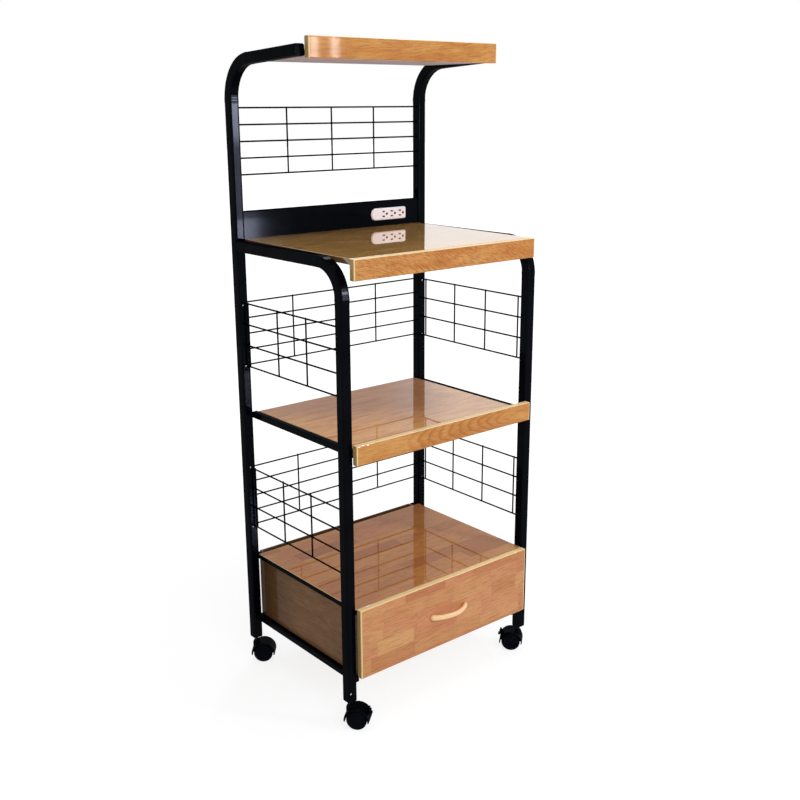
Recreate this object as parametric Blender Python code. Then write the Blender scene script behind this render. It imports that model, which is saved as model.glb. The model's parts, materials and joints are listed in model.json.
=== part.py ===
# A microwave cart: a frame of bent square tube on four twin-wheel casters. It carries a top shelf,
# a main shelf with an outlet strip behind it, a mid shelf, and a cabinet with one drawer.
# Metres, +Z up, the front faces -Y, and the origin is on the floor under the middle of the cart.

import math

import bmesh
import bpy
from mathutils import Matrix, Vector

# Driving sizes of the cart
FRAME_WIDTH = 0.600  # across the outsides of the posts
FRAME_DEPTH = 0.438  # from the front posts' front faces to the back posts' back faces
TUBE = 0.0254  # side of the posts' square tube
TUBE_CORNER = 0.004
TUBE_WALL = 0.0015
POST_FOOT = 0.0711  # lower ends of the posts
CABINET_BASE = 0.1066  # underside of the cabinet's bottom rails
CABINET_HEIGHT = 0.3061  # top of the cabinet
LOW_BAY = 0.3855  # from the cabinet's top up to the mid shelf's
MID_BAY = 0.429  # from the mid shelf's top up to the main shelf's
TOP_BAY = 0.4367  # from the main shelf's top up to the top of the arms at their front ends
ARM_REACH = 0.2987  # from the back posts' centre line to the front of the top fascia
ARM_BEND = 0.090  # radius of the bend's centre line
ARM_SLOPE = 3.0  # degrees by which the arms rise to the front
MAIN_BEND = 0.076

# Clearances and workshop values
FIT = 0.0003  # between two pieces that touch
OVERRUN = 0.002  # how far a cutter runs past what it cuts
WELD = 0.0005  # how deep one shape sinks into another of the same piece
MERGE = 0.000001
SLACK = 0.00001  # keeps two arcs that meet from sharing a point
ROUND_SHARE = 0.5  # a bevel's profile when it is round

# Rails, boards and fascias
RAIL = 0.016
TOP_RAIL = 0.0127  # the cabinet's upper rails are of thinner tube
RAIL_CORNER = 0.002
RAIL_SETBACK = 0.0003
RAIL_MITRE = 0.009  # taken off the lower corner of each bottom rail's front end
FASCIA_INSET = 0.024  # from the posts' outsides to a fascia's ends
FASCIA_HEIGHT = 0.047
FASCIA_THICKNESS = 0.016
TOP_FASCIA_HEIGHT = 0.0456
FASCIA_RISE = 0.016  # how far the top and mid fascias stand above what is behind them
BOARD_EDGE = 0.0012  # eased edge of every board
THIN_EDGE_SHARE = 0.25  # of the thickness, the most that a thin board's edge is eased
MAIN_BOARD = 0.013
MID_BOARD = 0.015
TOP_BOARD = 0.015
TOP_BOARD_DROP = 0.0018  # how far the top board hangs below the arms
TOP_BOARD_BACK = 0.0343  # from the back posts' centre line to the top board's back edge
CABINET_BOARD = 0.003
SIDE_PANEL = 0.009
BACK_PANEL = 0.004

# Outlet panel and strip
PANEL_HEIGHT = 0.0682
PANEL_SETBACK = 0.0044  # behind the back posts' front faces
PANEL_FOLD = 0.016  # depth of its folded flanges
PANEL_SHEET = 0.0012
PANEL_BEND = 0.002
STRIP_LENGTH = 0.1175
STRIP_HEIGHT = 0.031
STRIP_THICKNESS = 0.004
STRIP_BEVEL = 0.0022
STRIP_CORNER = 0.005
STRIP_FROM_POST = 0.0441  # from the right post's inner face to the strip's right end
STRIP_RIM = 0.0035  # the bezel's overlap on the panel
STRIP_BODY = 0.012  # depth of the body behind the panel
STRIP_STEPS = 5
OUTLETS = 3
OUTLET_PITCH = 0.0278
OUTLET_FIRST = 0.0402  # from the strip's left end to the first pair of slots
SLOT_LENGTH = 0.0068
SLOT_WIDTH = 0.0018
SLOT_SPREAD = 0.0063
GROUND_OFFSET = 0.0108
GROUND_RADIUS = 0.0024
OUTLET_DEPTH = 0.008

# Wire grids
WIRE = 0.0036
WIRE_OVERLAP_SHARE = 0.25  # of the wire's diameter, where two wires are welded
GRID_SETBACK = 0.0039  # the side grids lie this far inside the posts' centre lines
BACK_GRID_ROWS = 5
BACK_COLUMN_SHARES = (-0.4885, 0.0, 0.4885)  # of the way from the middle to a post
SIDE_GRID_ROWS = 4
SIDE_COLUMN_SHARES = (-0.908, -0.3026, 0.3026, 0.908)
# Lowest and highest wire, as shares of the way up their bay
UPPER_GRID_SHARES = (0.3335, 0.9335)  # from the outlet panel to where the arms bend
MID_GRID_SHARES = (0.3556, 0.8169)  # from the mid shelf to where the front posts bend
LOW_GRID_SHARES = (0.2101, 0.6182)  # from the cabinet's top to the mid shelf's

# Drawer
FRONT_INSET = 0.026  # from the posts' outsides to the front's ends
FRONT_LIFT = 0.024  # from the bottom rails' underside to the front's lower edge
FRONT_ABOVE_CABINET = 0.0011
FRONT_THICKNESS = 0.016
FRONT_STANDOFF = 0.002  # running gap between the front and the posts' front plane
SLIDE_SPACE = 0.0125  # between a side panel and the drawer's side
DRAWER_SIDE = 0.012
DRAWER_LIFT = 0.021  # from the bottom rails' top to the drawer's lower edge
DRAWER_HEADROOM = 0.0392  # above the drawer's rim
DRAWER_BACK_GAP = 0.0454  # from the shut drawer to the back panel
DRAWER_BOTTOM = 0.004
GROOVE_LIFT = 0.008  # from a drawer side's lower edge to its groove
GROOVE_DEPTH = 0.005
HANDLE_SPAN = 0.132
HANDLE_REACH = 0.027
HANDLE_THICKNESS = 0.009
HANDLE_HEIGHT = 0.014
HANDLE_EDGE = 0.0022

# Slides
SHEET = 0.0012
CHANNEL_HEIGHT = 0.024
CHANNEL_DEPTH = 0.0102
CHANNEL_RISE = 0.0045  # from the drawer's lower edge to the channel's underside
CHANNEL_BACK = 0.020  # clear of the cabinet's back
CHANNEL_FRONT = 0.005  # behind the posts' front faces
RUNNER_CLEAR = 0.0022  # from the runner's rail to the channel's wall
ROLLER_CLEAR = 0.0004
FRONT_ROLLER = 0.0078
ROLLER_WIDTH = 0.006
ROLLER_INSET = 0.014

# Casters, measured from the stem's axis and the floor
WHEEL_RADIUS = 0.025
WHEEL_WIDTH = 0.0155
WHEEL_SHOULDER = 0.004
SHOULDER_SHARE = 0.25  # where the shoulder's middle facet meets the others
WHEEL_DISH = 0.003  # depth of the recess in the wheel's outer face
WHEEL_DISH_RADIUS = 0.017
HUB_RADIUS = 0.006
WEB = 0.0075  # the hood's wall between the wheels
WEB_CLEAR = 0.0009
AXLE_RADIUS = 0.004
AXLE_EYE = 0.0085
AXLE_CLEAR = 0.0005
TRAIL = 0.0185  # from the stem to the axle
HOOD_RADIUS = 0.031
HOOD_WALL = 0.0033
HOOD_WIDTH = 0.046
HOOD_EDGE = 0.003
HOOD_LIP = 0.0215  # lower edge of the hood above the floor
BOSS_RADIUS = 0.0098
BOSS_TIP_RADIUS = 0.0068
BOSS_FOOT = 0.034
BOSS_SHOULDER = 0.0505
BOSS_TOP = 0.0575
STEM_RADIUS = 0.0045
STEM_FOOT = 0.050
STEM_TOP = 0.107
STEM_TIP = 0.0015
SOCKET_FLANGE = 0.002
SOCKET_LENGTH = 0.040
BORE_DEPTH = 0.045
CAP_THICKNESS = 0.0025
CAP_PLUG = 0.012
CASTER_AZIMUTHS = {"front_left": -50, "front_right": 130, "back_left": -40, "back_right": 140}

# Brake levers on the front casters
LEVER_ANGLE = 34  # degrees from the trailing direction up to the pin, about the axle
LEVER_PIN_RADIUS = 0.035
LEVER_PIN = 0.0015
LEVER_WIDTH = 0.013
LEVER_LENGTH = 0.0184
LEVER_THICKNESS = 0.0036
LEVER_TAB = 0.0026  # thickness of the tabs at its ends
LEVER_HEEL = 0.0045  # how far the upper tab stands up
LEVER_TOE = 0.0012  # and the lower one
EAR = 0.0022
EAR_RADIUS = 0.0036
EAR_CLEAR = 0.0004
EAR_FOOT_SHARE = 0.82  # of the way from the axle to the pin, where an ear grows out of the hood

# Numbers of facets
ROUND = 24
WHEEL_ROUND = 20
MID_ROUND = 16
SMALL_ROUND = 12
WIRE_SIDES = 6
CORNER_STEPS = 2
BEND_STEPS = 10

# Places worked out from the sizes above
MID_HEIGHT = CABINET_HEIGHT + LOW_BAY  # tops of the shelves
MAIN_HEIGHT = MID_HEIGHT + MID_BAY
ARM_HEIGHT = MAIN_HEIGHT + TOP_BAY
INNER_X = FRAME_WIDTH / 2 - TUBE  # the posts' inner faces
POST_X = INNER_X + TUBE / 2
POST_Y = FRAME_DEPTH / 2 - TUBE / 2
FRAME_FRONT = -FRAME_DEPTH / 2
RAIL_X = INNER_X - FIT  # the rails' outer faces
FASCIA_BACK = FRAME_FRONT - FIT
TOP_FASCIA_BACK = POST_Y - ARM_REACH + FASCIA_THICKNESS
ARM_TILT = math.radians(ARM_SLOPE)
ARM_LEAN = TUBE / 2 * math.sin(ARM_TILT)  # how far a corner of an arm's end leads its middle
ARM_END = TOP_FASCIA_BACK + FIT + CAP_THICKNESS + FIT + ARM_LEAN
ARM_LEVEL = ARM_HEIGHT - TUBE / 2  # middle of the arms' front ends
PANEL_TOP = CABINET_HEIGHT - CABINET_BOARD - FIT
PANEL_OUTER = RAIL_X - TOP_RAIL - FIT
PANEL_INNER = PANEL_OUTER - SIDE_PANEL
DRAWER_OUTER = PANEL_INNER - SLIDE_SPACE
DRAWER_START = FRAME_FRONT - FRONT_STANDOFF + FIT
DRAWER_END = FRAME_DEPTH / 2 - RAIL_SETBACK - BACK_PANEL - DRAWER_BACK_GAP
DRAWER_FLOOR = CABINET_BASE + RAIL + DRAWER_LIFT
DRAWER_RIM = PANEL_TOP - DRAWER_HEADROOM
FRONT_BOTTOM = CABINET_BASE + FRONT_LIFT
FRONT_TOP = CABINET_HEIGHT + FRONT_ABOVE_CABINET
HANDLE_LEVEL = (FRONT_BOTTOM + FRONT_TOP) / 2

FINISHES = {
    "tube steel": ((0.006, 0.008, 0.014), 0.12, 0.0),
    "wire steel": ((0.006, 0.008, 0.014), 0.25, 0.0),
    "slide steel": ((0.70, 0.68, 0.62), 0.45, 0.6),
    "stem steel": ((0.60, 0.60, 0.62), 0.30, 1.0),
    "caster nylon": ((0.010, 0.010, 0.012), 0.35, 0.0),
    "wheel nylon": ((0.014, 0.014, 0.016), 0.45, 0.0),
    "outlet plastic": ((0.86, 0.80, 0.72), 0.40, 0.0),
    "oak fascia": ((0.60, 0.28, 0.09), 0.35, 0.0),
    "brown board": ((0.16, 0.085, 0.035), 0.10, 0.0),
    "beige board": ((0.58, 0.40, 0.30), 0.15, 0.0),
    "stave board": ((0.58, 0.34, 0.14), 0.20, 0.0),
    "brown panel": ((0.17, 0.10, 0.05), 0.12, 0.0),
    "drawer board": ((0.55, 0.38, 0.22), 0.55, 0.0),
    "maple": ((0.90, 0.66, 0.38), 0.35, 0.0),
}


def clear_scene():
    for item in list(bpy.data.objects):
        bpy.data.objects.remove(item)


def make_material(name, finish):
    color, roughness, metallic = FINISHES[finish]
    material = bpy.data.materials.new(name)
    material.use_nodes = True
    shader = material.node_tree.nodes["Principled BSDF"]
    shader.inputs["Base Color"].default_value = (*color, 1)
    shader.inputs["Roughness"].default_value = roughness
    shader.inputs["Metallic"].default_value = metallic
    return material


def make_empty(name, location, parent=None, turn=(0, 0, 0)):
    empty = bpy.data.objects.new(name, None)
    bpy.context.scene.collection.objects.link(empty)
    empty.empty_display_size = TUBE
    empty.parent = parent
    empty.location = location
    empty.rotation_euler = turn
    return empty


def add_piece(name, mesh, finish, parent, location=(0, 0, 0), smooth=False):
    piece = bpy.data.objects.new(name, mesh)
    bpy.context.scene.collection.objects.link(piece)
    mesh.materials.clear()
    mesh.materials.append(make_material(name, finish))
    if smooth:
        mesh.shade_smooth()
        mesh.set_sharp_from_angle(angle=math.radians(35))
    piece.parent = parent
    piece.location = location
    return piece


# Mesh tools: each gives a closed mesh with its faces out

def to_mesh(work):
    bmesh.ops.remove_doubles(work, verts=work.verts, dist=MERGE)
    bmesh.ops.recalc_face_normals(work, faces=work.faces)
    mesh = bpy.data.meshes.new("shape")
    work.to_mesh(mesh)
    work.free()
    return mesh


def loft(rings):
    # Rings of the same number of points, joined one to the next and closed by a face at each end
    work = bmesh.new()
    rows = [[work.verts.new(point) for point in ring] for ring in rings]
    for row, next_row in zip(rows, rows[1:]):
        for i in range(len(row)):
            j = (i + 1) % len(row)
            work.faces.new((row[i], row[j], next_row[j], next_row[i]))
    work.faces.new(rows[0])
    work.faces.new(rows[-1])
    return to_mesh(work)


def on_axis(axis, pair, along):
    # A point of an outline drawn across the axis, at a place along it
    a, b = pair
    return {"X": (along, a, b), "Y": (a, along, b), "Z": (a, b, along)}[axis]


def prism(axis, outline, start, end):
    return loft([[on_axis(axis, pair, along) for pair in outline] for along in (start, end)])


def circle(radius, sides, center=(0, 0), flat=False):
    # A polygon with its corners on the circle, or with flat sides that touch it
    shift = 0.5 if flat else 0
    reach = radius / math.cos(math.pi / sides) if flat else radius
    turns = [2 * math.pi * (i + shift) / sides for i in range(sides)]
    return [(center[0] + reach * math.cos(t), center[1] + reach * math.sin(t)) for t in turns]


def arc(center, radius, start, end, steps):
    turns = [math.radians(start + (end - start) * i / steps) for i in range(steps + 1)]
    return [(center[0] + radius * math.cos(t), center[1] + radius * math.sin(t)) for t in turns]


def rounded_box(low, high, radii, steps=CORNER_STEPS):
    # Rectangle outline whose corners have the given radii, from lower left round to upper left
    (x0, y0), (x1, y1) = low, high
    corners = [(x0, y0, 1, 1, 180), (x1, y0, -1, 1, 270), (x1, y1, -1, -1, 0), (x0, y1, 1, -1, 90)]
    points = []
    for (x, y, right, up, start), radius in zip(corners, radii):
        center = (x + right * radius, y + up * radius)
        points += arc(center, radius, start, start + 90, steps) if radius else [(x, y)]
    return points


def square(size, corner):
    half = size / 2
    return rounded_box((-half, -half), (half, half), (corner,) * 4)


def block(low, high, edge=0.0):
    work = bmesh.new()
    bmesh.ops.create_cube(work, size=1)
    size = [b - a for a, b in zip(low, high)]
    middle = [(a + b) / 2 for a, b in zip(low, high)]
    bmesh.ops.scale(work, vec=size, verts=work.verts)
    bmesh.ops.translate(work, vec=middle, verts=work.verts)
    if edge:
        bmesh.ops.bevel(work, geom=work.edges[:], offset=edge, segments=1, affect="EDGES")
    return to_mesh(work)


def turned(profile, segments, axis="Z", flat=False):
    # A profile of (radius, height) pairs that starts and ends on the axis, turned once round it
    work = bmesh.new()
    grow = 1 / math.cos(math.pi / segments) if flat else 1
    columns = []
    for i in range(segments):
        t = 2 * math.pi * (i + (0.5 if flat else 0)) / segments
        column = []
        for radius, height in profile:
            pair = (radius * grow * math.cos(t), radius * grow * math.sin(t))
            column.append(work.verts.new(on_axis(axis, pair, height)))
        columns.append(column)
    for column, following in zip(columns, columns[1:] + columns[:1]):
        for i in range(len(profile) - 1):
            corners = [column[i], column[i + 1], following[i + 1], following[i]]
            if profile[i][0] == 0:
                corners.pop(3)
            if profile[i + 1][0] == 0:
                corners.pop(2)
            work.faces.new(corners)
    return to_mesh(work)


def moved(mesh, offset, turn=0.0, axis="Z"):
    mesh.transform(Matrix.Translation(offset) @ Matrix.Rotation(turn, 4, axis))
    return mesh


def boolean(mesh, tool, operation):
    scene = bpy.context.scene.collection.objects
    base = bpy.data.objects.new("base", mesh)
    other = bpy.data.objects.new("tool", tool)
    scene.link(base)
    scene.link(other)
    step = base.modifiers.new("boolean", "BOOLEAN")
    step.operation = operation
    step.solver = "EXACT"
    step.object = other
    graph = bpy.context.evaluated_depsgraph_get()
    result = bpy.data.meshes.new_from_object(base.evaluated_get(graph), depsgraph=graph)
    bpy.data.objects.remove(base)
    bpy.data.objects.remove(other)
    return result


def union(mesh, *tools):
    for tool in tools:
        mesh = boolean(mesh, tool, "UNION")
    return mesh


def cut(mesh, *tools):
    for tool in tools:
        mesh = boolean(mesh, tool, "DIFFERENCE")
    return mesh


# Frame

def bend_layout(level, radius, depth, slope):
    # Length of a bent tube's upper run, and where its bend starts, from the level of the run's end
    # and the depth from the foot's centre line to that end
    run = (depth - radius * (1 - math.sin(slope))) / math.cos(slope)
    return run, level - radius * math.cos(slope) - run * math.sin(slope)


def bent_tube(foot, level, radius, y_start, y_end, slope=0.0):
    # Square tube that rises at y_start, bends over and runs up its slope to end at y_end and the level
    way = math.copysign(1, y_end - y_start)
    section = square(TUBE, TUBE_CORNER)
    run, bend_start = bend_layout(level, radius, abs(y_end - y_start), slope)
    middle = Vector((0, y_start + way * radius, bend_start))
    stations = [(Vector((0, y_start, foot)), 0.0)]
    full = math.pi / 2 - slope
    for i in range(BEND_STEPS + 1):
        turn = full * i / BEND_STEPS
        offset = Vector((0, -way * math.cos(turn), math.sin(turn))) * radius
        stations.append((middle + offset, turn))
    onward = Vector((0, way * math.sin(full), math.cos(full)))
    stations.append((stations[-1][0] + onward * run, full))
    rings = []
    for point, turn in stations:
        outward = Vector((0, -way * math.cos(turn), math.sin(turn)))
        rings.append([point + Vector((a, 0, 0)) + outward * b for a, b in section])
    return loft(rings)


def inside_outline(clearance=0.0):
    # The tube's inside, or what fits in it with a clearance
    return square(TUBE - 2 * (TUBE_WALL + clearance), TUBE_CORNER - TUBE_WALL)


def make_posts(root):
    arm_end = make_empty("arm end", (0, ARM_END, ARM_LEVEL), root, (-ARM_TILT, 0, 0))
    main_level = MAIN_HEIGHT - TUBE / 2
    hollow = inside_outline()
    foot_bore = (POST_FOOT - OVERRUN, POST_FOOT + BORE_DEPTH)
    for side, sign in (("left", -1), ("right", 1)):
        back = bent_tube(POST_FOOT, ARM_LEVEL, ARM_BEND, POST_Y, ARM_END, ARM_TILT)
        at_back = [(a, b + POST_Y) for a, b in hollow]
        arm_bore = moved(prism("Y", hollow, -OVERRUN, CAP_PLUG + OVERRUN), (0, ARM_END, ARM_LEVEL),
                         -ARM_TILT, "X")
        back = cut(back, prism("Z", at_back, *foot_bore), arm_bore)
        add_piece(f"{side}_back_post", back, "tube steel", root, (sign * POST_X, 0, 0), True)
        front = bent_tube(POST_FOOT, main_level, MAIN_BEND, -POST_Y, POST_Y - TUBE / 2 - FIT)
        at_front = [(a, b - POST_Y) for a, b in hollow]
        front = cut(front, prism("Z", at_front, *foot_bore))
        add_piece(f"{side}_front_post", front, "tube steel", root, (sign * POST_X, 0, 0), True)
        cap = union(prism("Y", square(TUBE, TUBE_CORNER), -CAP_THICKNESS, 0),
                    prism("Y", inside_outline(FIT), -WELD, CAP_PLUG))
        add_piece(f"{side}_top_cap", cap, "caster nylon", arm_end, (sign * POST_X, -FIT, 0), True)


def make_rails(root):
    length = FRAME_DEPTH / 2 - RAIL_SETBACK
    rails = [("mid_rail", RAIL, MID_HEIGHT), ("cabinet_top_rail", TOP_RAIL, PANEL_TOP),
             ("cabinet_bottom_rail", RAIL, CABINET_BASE + RAIL)]
    for kind, size, top in rails:
        for side, sign in (("left", -1), ("right", 1)):
            rail = prism("Y", square(size, RAIL_CORNER), -length, length)
            if kind == "cabinet_bottom_rail":
                low = (-length - OVERRUN, -size / 2 - OVERRUN)
                reach = RAIL_MITRE + 2 * OVERRUN
                corner = [low, (low[0] + reach, low[1]), (low[0], low[1] + reach)]
                rail = cut(rail, prism("X", corner, -size, size))
            place = (sign * (RAIL_X - size / 2), 0, top - size / 2)
            add_piece(f"{side}_{kind}", rail, "tube steel", root, place, True)


# Shelves

def make_shelves(root):
    half = FRAME_WIDTH / 2 - FASCIA_INSET
    fascias = [("main_shelf_fascia", FASCIA_BACK, MAIN_HEIGHT, FASCIA_HEIGHT),
               ("mid_shelf_fascia", FASCIA_BACK, MID_HEIGHT + FASCIA_RISE, FASCIA_HEIGHT),
               ("top_shelf_fascia", TOP_FASCIA_BACK, ARM_HEIGHT + FASCIA_RISE, TOP_FASCIA_HEIGHT)]
    for name, back, top, height in fascias:
        fascia = block((-half, -FASCIA_THICKNESS, -height), (half, 0, 0), BOARD_EDGE)
        add_piece(name, fascia, "oak fascia", root, (0, back, top))
    arm_underside = ARM_HEIGHT - TUBE
    back_face = FRAME_DEPTH / 2
    boards = [("main_shelf_board", RAIL_X, FASCIA_BACK + FIT, back_face, MAIN_HEIGHT, MAIN_BOARD,
               "brown board"),
              ("mid_shelf_board", RAIL_X - RAIL - FIT, FASCIA_BACK + FIT, POST_Y - TUBE / 2,
               MID_HEIGHT, MID_BOARD, "beige board"),
              ("top_shelf_board", RAIL_X, TOP_FASCIA_BACK + FIT, POST_Y - TOP_BOARD_BACK,
               arm_underside - TOP_BOARD_DROP + TOP_BOARD, TOP_BOARD, "beige board"),
              ("cabinet_top_board", RAIL_X, FRAME_FRONT + FIT, POST_Y - TUBE / 2,
               CABINET_HEIGHT, CABINET_BOARD, "stave board")]
    for name, reach, front, back, top, thickness, finish in boards:
        edge = min(BOARD_EDGE, thickness * THIN_EDGE_SHARE)
        board = block((-reach, front, -thickness), (reach, back, 0), edge)
        add_piece(name, board, finish, root, (0, 0, top))


# Outlet panel and strip

def strip_outline(inset):
    # Round at the left end and nearly square at the right, drawn inside by the inset
    round_end = STRIP_HEIGHT / 2 - inset
    corner = STRIP_CORNER - inset
    low = (inset, inset - STRIP_HEIGHT / 2)
    high = (STRIP_LENGTH - inset, STRIP_HEIGHT / 2 - inset)
    ease = round_end - SLACK
    return rounded_box(low, high, (ease, corner, corner, ease), STRIP_STEPS)


def make_outlets(root):
    face = POST_Y - TUBE / 2 + PANEL_SETBACK
    low = MAIN_HEIGHT + FIT
    outline = rounded_box((face, low), (face + PANEL_FOLD, low + PANEL_HEIGHT),
                          (PANEL_BEND, 0, 0, PANEL_BEND))
    panel = prism("X", outline, -RAIL_X, RAIL_X)
    inside = block((-RAIL_X + PANEL_SHEET, face + PANEL_SHEET, low + PANEL_SHEET),
                   (RAIL_X - PANEL_SHEET, face + PANEL_FOLD + OVERRUN, low + PANEL_HEIGHT - PANEL_SHEET))
    left = INNER_X - STRIP_FROM_POST - STRIP_LENGTH
    level = low + PANEL_HEIGHT / 2
    hole_low = (left + STRIP_RIM, face - OVERRUN, level - STRIP_HEIGHT / 2 + STRIP_RIM)
    hole_high = (left + STRIP_LENGTH - STRIP_RIM, face + PANEL_SHEET + OVERRUN,
                 level + STRIP_HEIGHT / 2 - STRIP_RIM)
    panel = cut(panel, inside, block(hole_low, hole_high))
    add_piece("outlet_panel", panel, "tube steel", root)

    front = -STRIP_THICKNESS
    rings = []
    for inset, y in ((0.0, -FIT), (0.0, front + STRIP_BEVEL), (STRIP_BEVEL, front)):
        rings.append([on_axis("Y", pair, y) for pair in strip_outline(inset)])
    body_low = (STRIP_RIM + FIT, -STRIP_BEVEL, STRIP_RIM + FIT - STRIP_HEIGHT / 2)
    body_high = (STRIP_LENGTH - STRIP_RIM - FIT, STRIP_BODY, STRIP_HEIGHT / 2 - STRIP_RIM - FIT)
    strip = union(loft(rings), block(body_low, body_high))
    deep = (front - OVERRUN, front + OUTLET_DEPTH)
    for i in range(OUTLETS):
        x = OUTLET_FIRST + i * OUTLET_PITCH
        for z in (-SLOT_SPREAD, SLOT_SPREAD):
            slot_low = (x - SLOT_LENGTH / 2, deep[0], z - SLOT_WIDTH / 2)
            slot_high = (x + SLOT_LENGTH / 2, deep[1], z + SLOT_WIDTH / 2)
            strip = cut(strip, block(slot_low, slot_high))
        ground = circle(GROUND_RADIUS, SMALL_ROUND, (x + GROUND_OFFSET, 0))
        strip = cut(strip, prism("Y", ground, *deep))
    add_piece("outlet_strip", strip, "outlet plastic", root, (left, face, level))


# Wire grids

def spread(bay, shares, count):
    # Heights of a grid's level wires, evenly spaced within its share of a bay
    low, high = [bay[0] + (bay[1] - bay[0]) * share for share in shares]
    return [low + (high - low) * i / (count - 1) for i in range(count)]


def grid(rows, shares, reach, level_axis):
    # Level wires at the rows' heights, crossed by upright wires laid against them and welded on
    step = WIRE * (1 - WIRE_OVERLAP_SHARE)
    tip = WIRE / 2
    mesh = None
    for height in rows:
        center = (0, height)
        wire = prism(level_axis, circle(WIRE / 2, WIRE_SIDES, center), -reach, reach)
        mesh = union(mesh, wire) if mesh else wire
    for share in shares:
        center = (share * reach, step) if level_axis == "X" else (step, share * reach)
        wire = prism("Z", circle(WIRE / 2, WIRE_SIDES, center), rows[0] - tip, rows[-1] + tip)
        mesh = union(mesh, wire)
    return mesh


def make_grids(root):
    arms_bend = bend_layout(ARM_LEVEL, ARM_BEND, POST_Y - ARM_END, ARM_TILT)[1]
    upper_bay = (MAIN_HEIGHT + FIT + PANEL_HEIGHT, arms_bend)
    mid_bay = (MID_HEIGHT, MAIN_HEIGHT - TUBE / 2 - MAIN_BEND)
    low_bay = (CABINET_HEIGHT, MID_HEIGHT)
    for kind, bay, shares in (("upper", upper_bay, UPPER_GRID_SHARES),
                              ("mid", mid_bay, MID_GRID_SHARES), ("low", low_bay, LOW_GRID_SHARES)):
        mesh = grid(spread(bay, shares, BACK_GRID_ROWS), BACK_COLUMN_SHARES, RAIL_X, "X")
        add_piece(f"{kind}_back_grid", mesh, "wire steel", root, (0, POST_Y, 0), True)
    reach = POST_Y - TUBE / 2 - FIT
    for kind, bay, shares in (("mid", mid_bay, MID_GRID_SHARES), ("low", low_bay, LOW_GRID_SHARES)):
        for side, sign in (("left", -1), ("right", 1)):
            mesh = grid(spread(bay, shares, SIDE_GRID_ROWS), SIDE_COLUMN_SHARES, reach, "Y")
            place = (sign * (POST_X - GRID_SETBACK), 0, 0)
            add_piece(f"{side}_{kind}_grid", mesh, "wire steel", root, place, True)


# Cabinet

def make_cabinet(root):
    foot = CABINET_BASE + RAIL + FIT
    front = FRAME_FRONT + FIT
    back_face = FRAME_DEPTH / 2 - RAIL_SETBACK
    panel_end = back_face - BACK_PANEL - FIT
    for side, sign in (("left", -1), ("right", 1)):
        inner, outer = sorted((sign * PANEL_INNER, sign * PANEL_OUTER))
        panel = block((inner, front, foot), (outer, panel_end, PANEL_TOP), BOARD_EDGE)
        add_piece(f"{side}_side_panel", panel, "brown panel", root)
    reach = RAIL_X - RAIL - FIT
    back = block((-reach, panel_end + FIT, CABINET_BASE), (reach, back_face, PANEL_TOP))
    add_piece("cabinet_back_panel", back, "brown panel", root)


def slide_levels():
    low = DRAWER_FLOOR + CHANNEL_RISE
    return low, low + CHANNEL_HEIGHT


def make_channels(root):
    # Cabinet half of each slide: a channel on the side panel with a roller near its front end
    low, high = slide_levels()
    wall = PANEL_INNER - FIT
    tip = wall - CHANNEL_DEPTH
    front = FRAME_FRONT + CHANNEL_FRONT
    back = FRAME_DEPTH / 2 - CHANNEL_BACK
    section = [(wall, low), (wall, high), (tip, high), (tip, high - SHEET), (wall - SHEET, high - SHEET),
               (wall - SHEET, low + SHEET), (tip, low + SHEET), (tip, low)]
    roller_level = low + SHEET + FRONT_ROLLER + ROLLER_CLEAR
    center = (front + ROLLER_INSET, roller_level)
    for side, sign in (("left", -1), ("right", 1)):
        outline = [(sign * x, z) for x, z in section]
        mesh = prism("Y", outline, front, back)
        ends = sorted((sign * (wall - SHEET + WELD), sign * (wall - SHEET - ROLLER_WIDTH)))
        mesh = union(mesh, prism("X", circle(FRONT_ROLLER, MID_ROUND, center), *ends))
        add_piece(f"{side}_slide_channel", mesh, "slide steel", root)


# Drawer

def make_runners(drawer):
    # Drawer half of each slide: a folded strip under the drawer's side, with a roller at its back end
    low, high = slide_levels()
    web = DRAWER_OUTER + FIT
    ledge = low + SHEET + 2 * (FRONT_ROLLER + ROLLER_CLEAR)
    out = PANEL_INNER - FIT - SHEET - RUNNER_CLEAR
    under = DRAWER_FLOOR - FIT
    inner = DRAWER_OUTER - DRAWER_SIDE
    section = [(inner, under), (inner, under - SHEET), (web + SHEET, under - SHEET),
               (web + SHEET, ledge), (out, ledge), (out, ledge + SHEET), (web, ledge + SHEET),
               (web, under)]
    radius = CHANNEL_HEIGHT / 2 - SHEET - ROLLER_CLEAR
    center = (DRAWER_END - ROLLER_INSET, (low + high) / 2)
    for side, sign in (("left", -1), ("right", 1)):
        outline = [(sign * x, z) for x, z in section]
        mesh = prism("Y", outline, DRAWER_START, DRAWER_END)
        ends = sorted((sign * (web + SHEET - WELD), sign * out))
        mesh = union(mesh, prism("X", circle(radius, MID_ROUND, center), *ends))
        add_piece(f"{side}_slide_runner", mesh, "slide steel", drawer)


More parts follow.
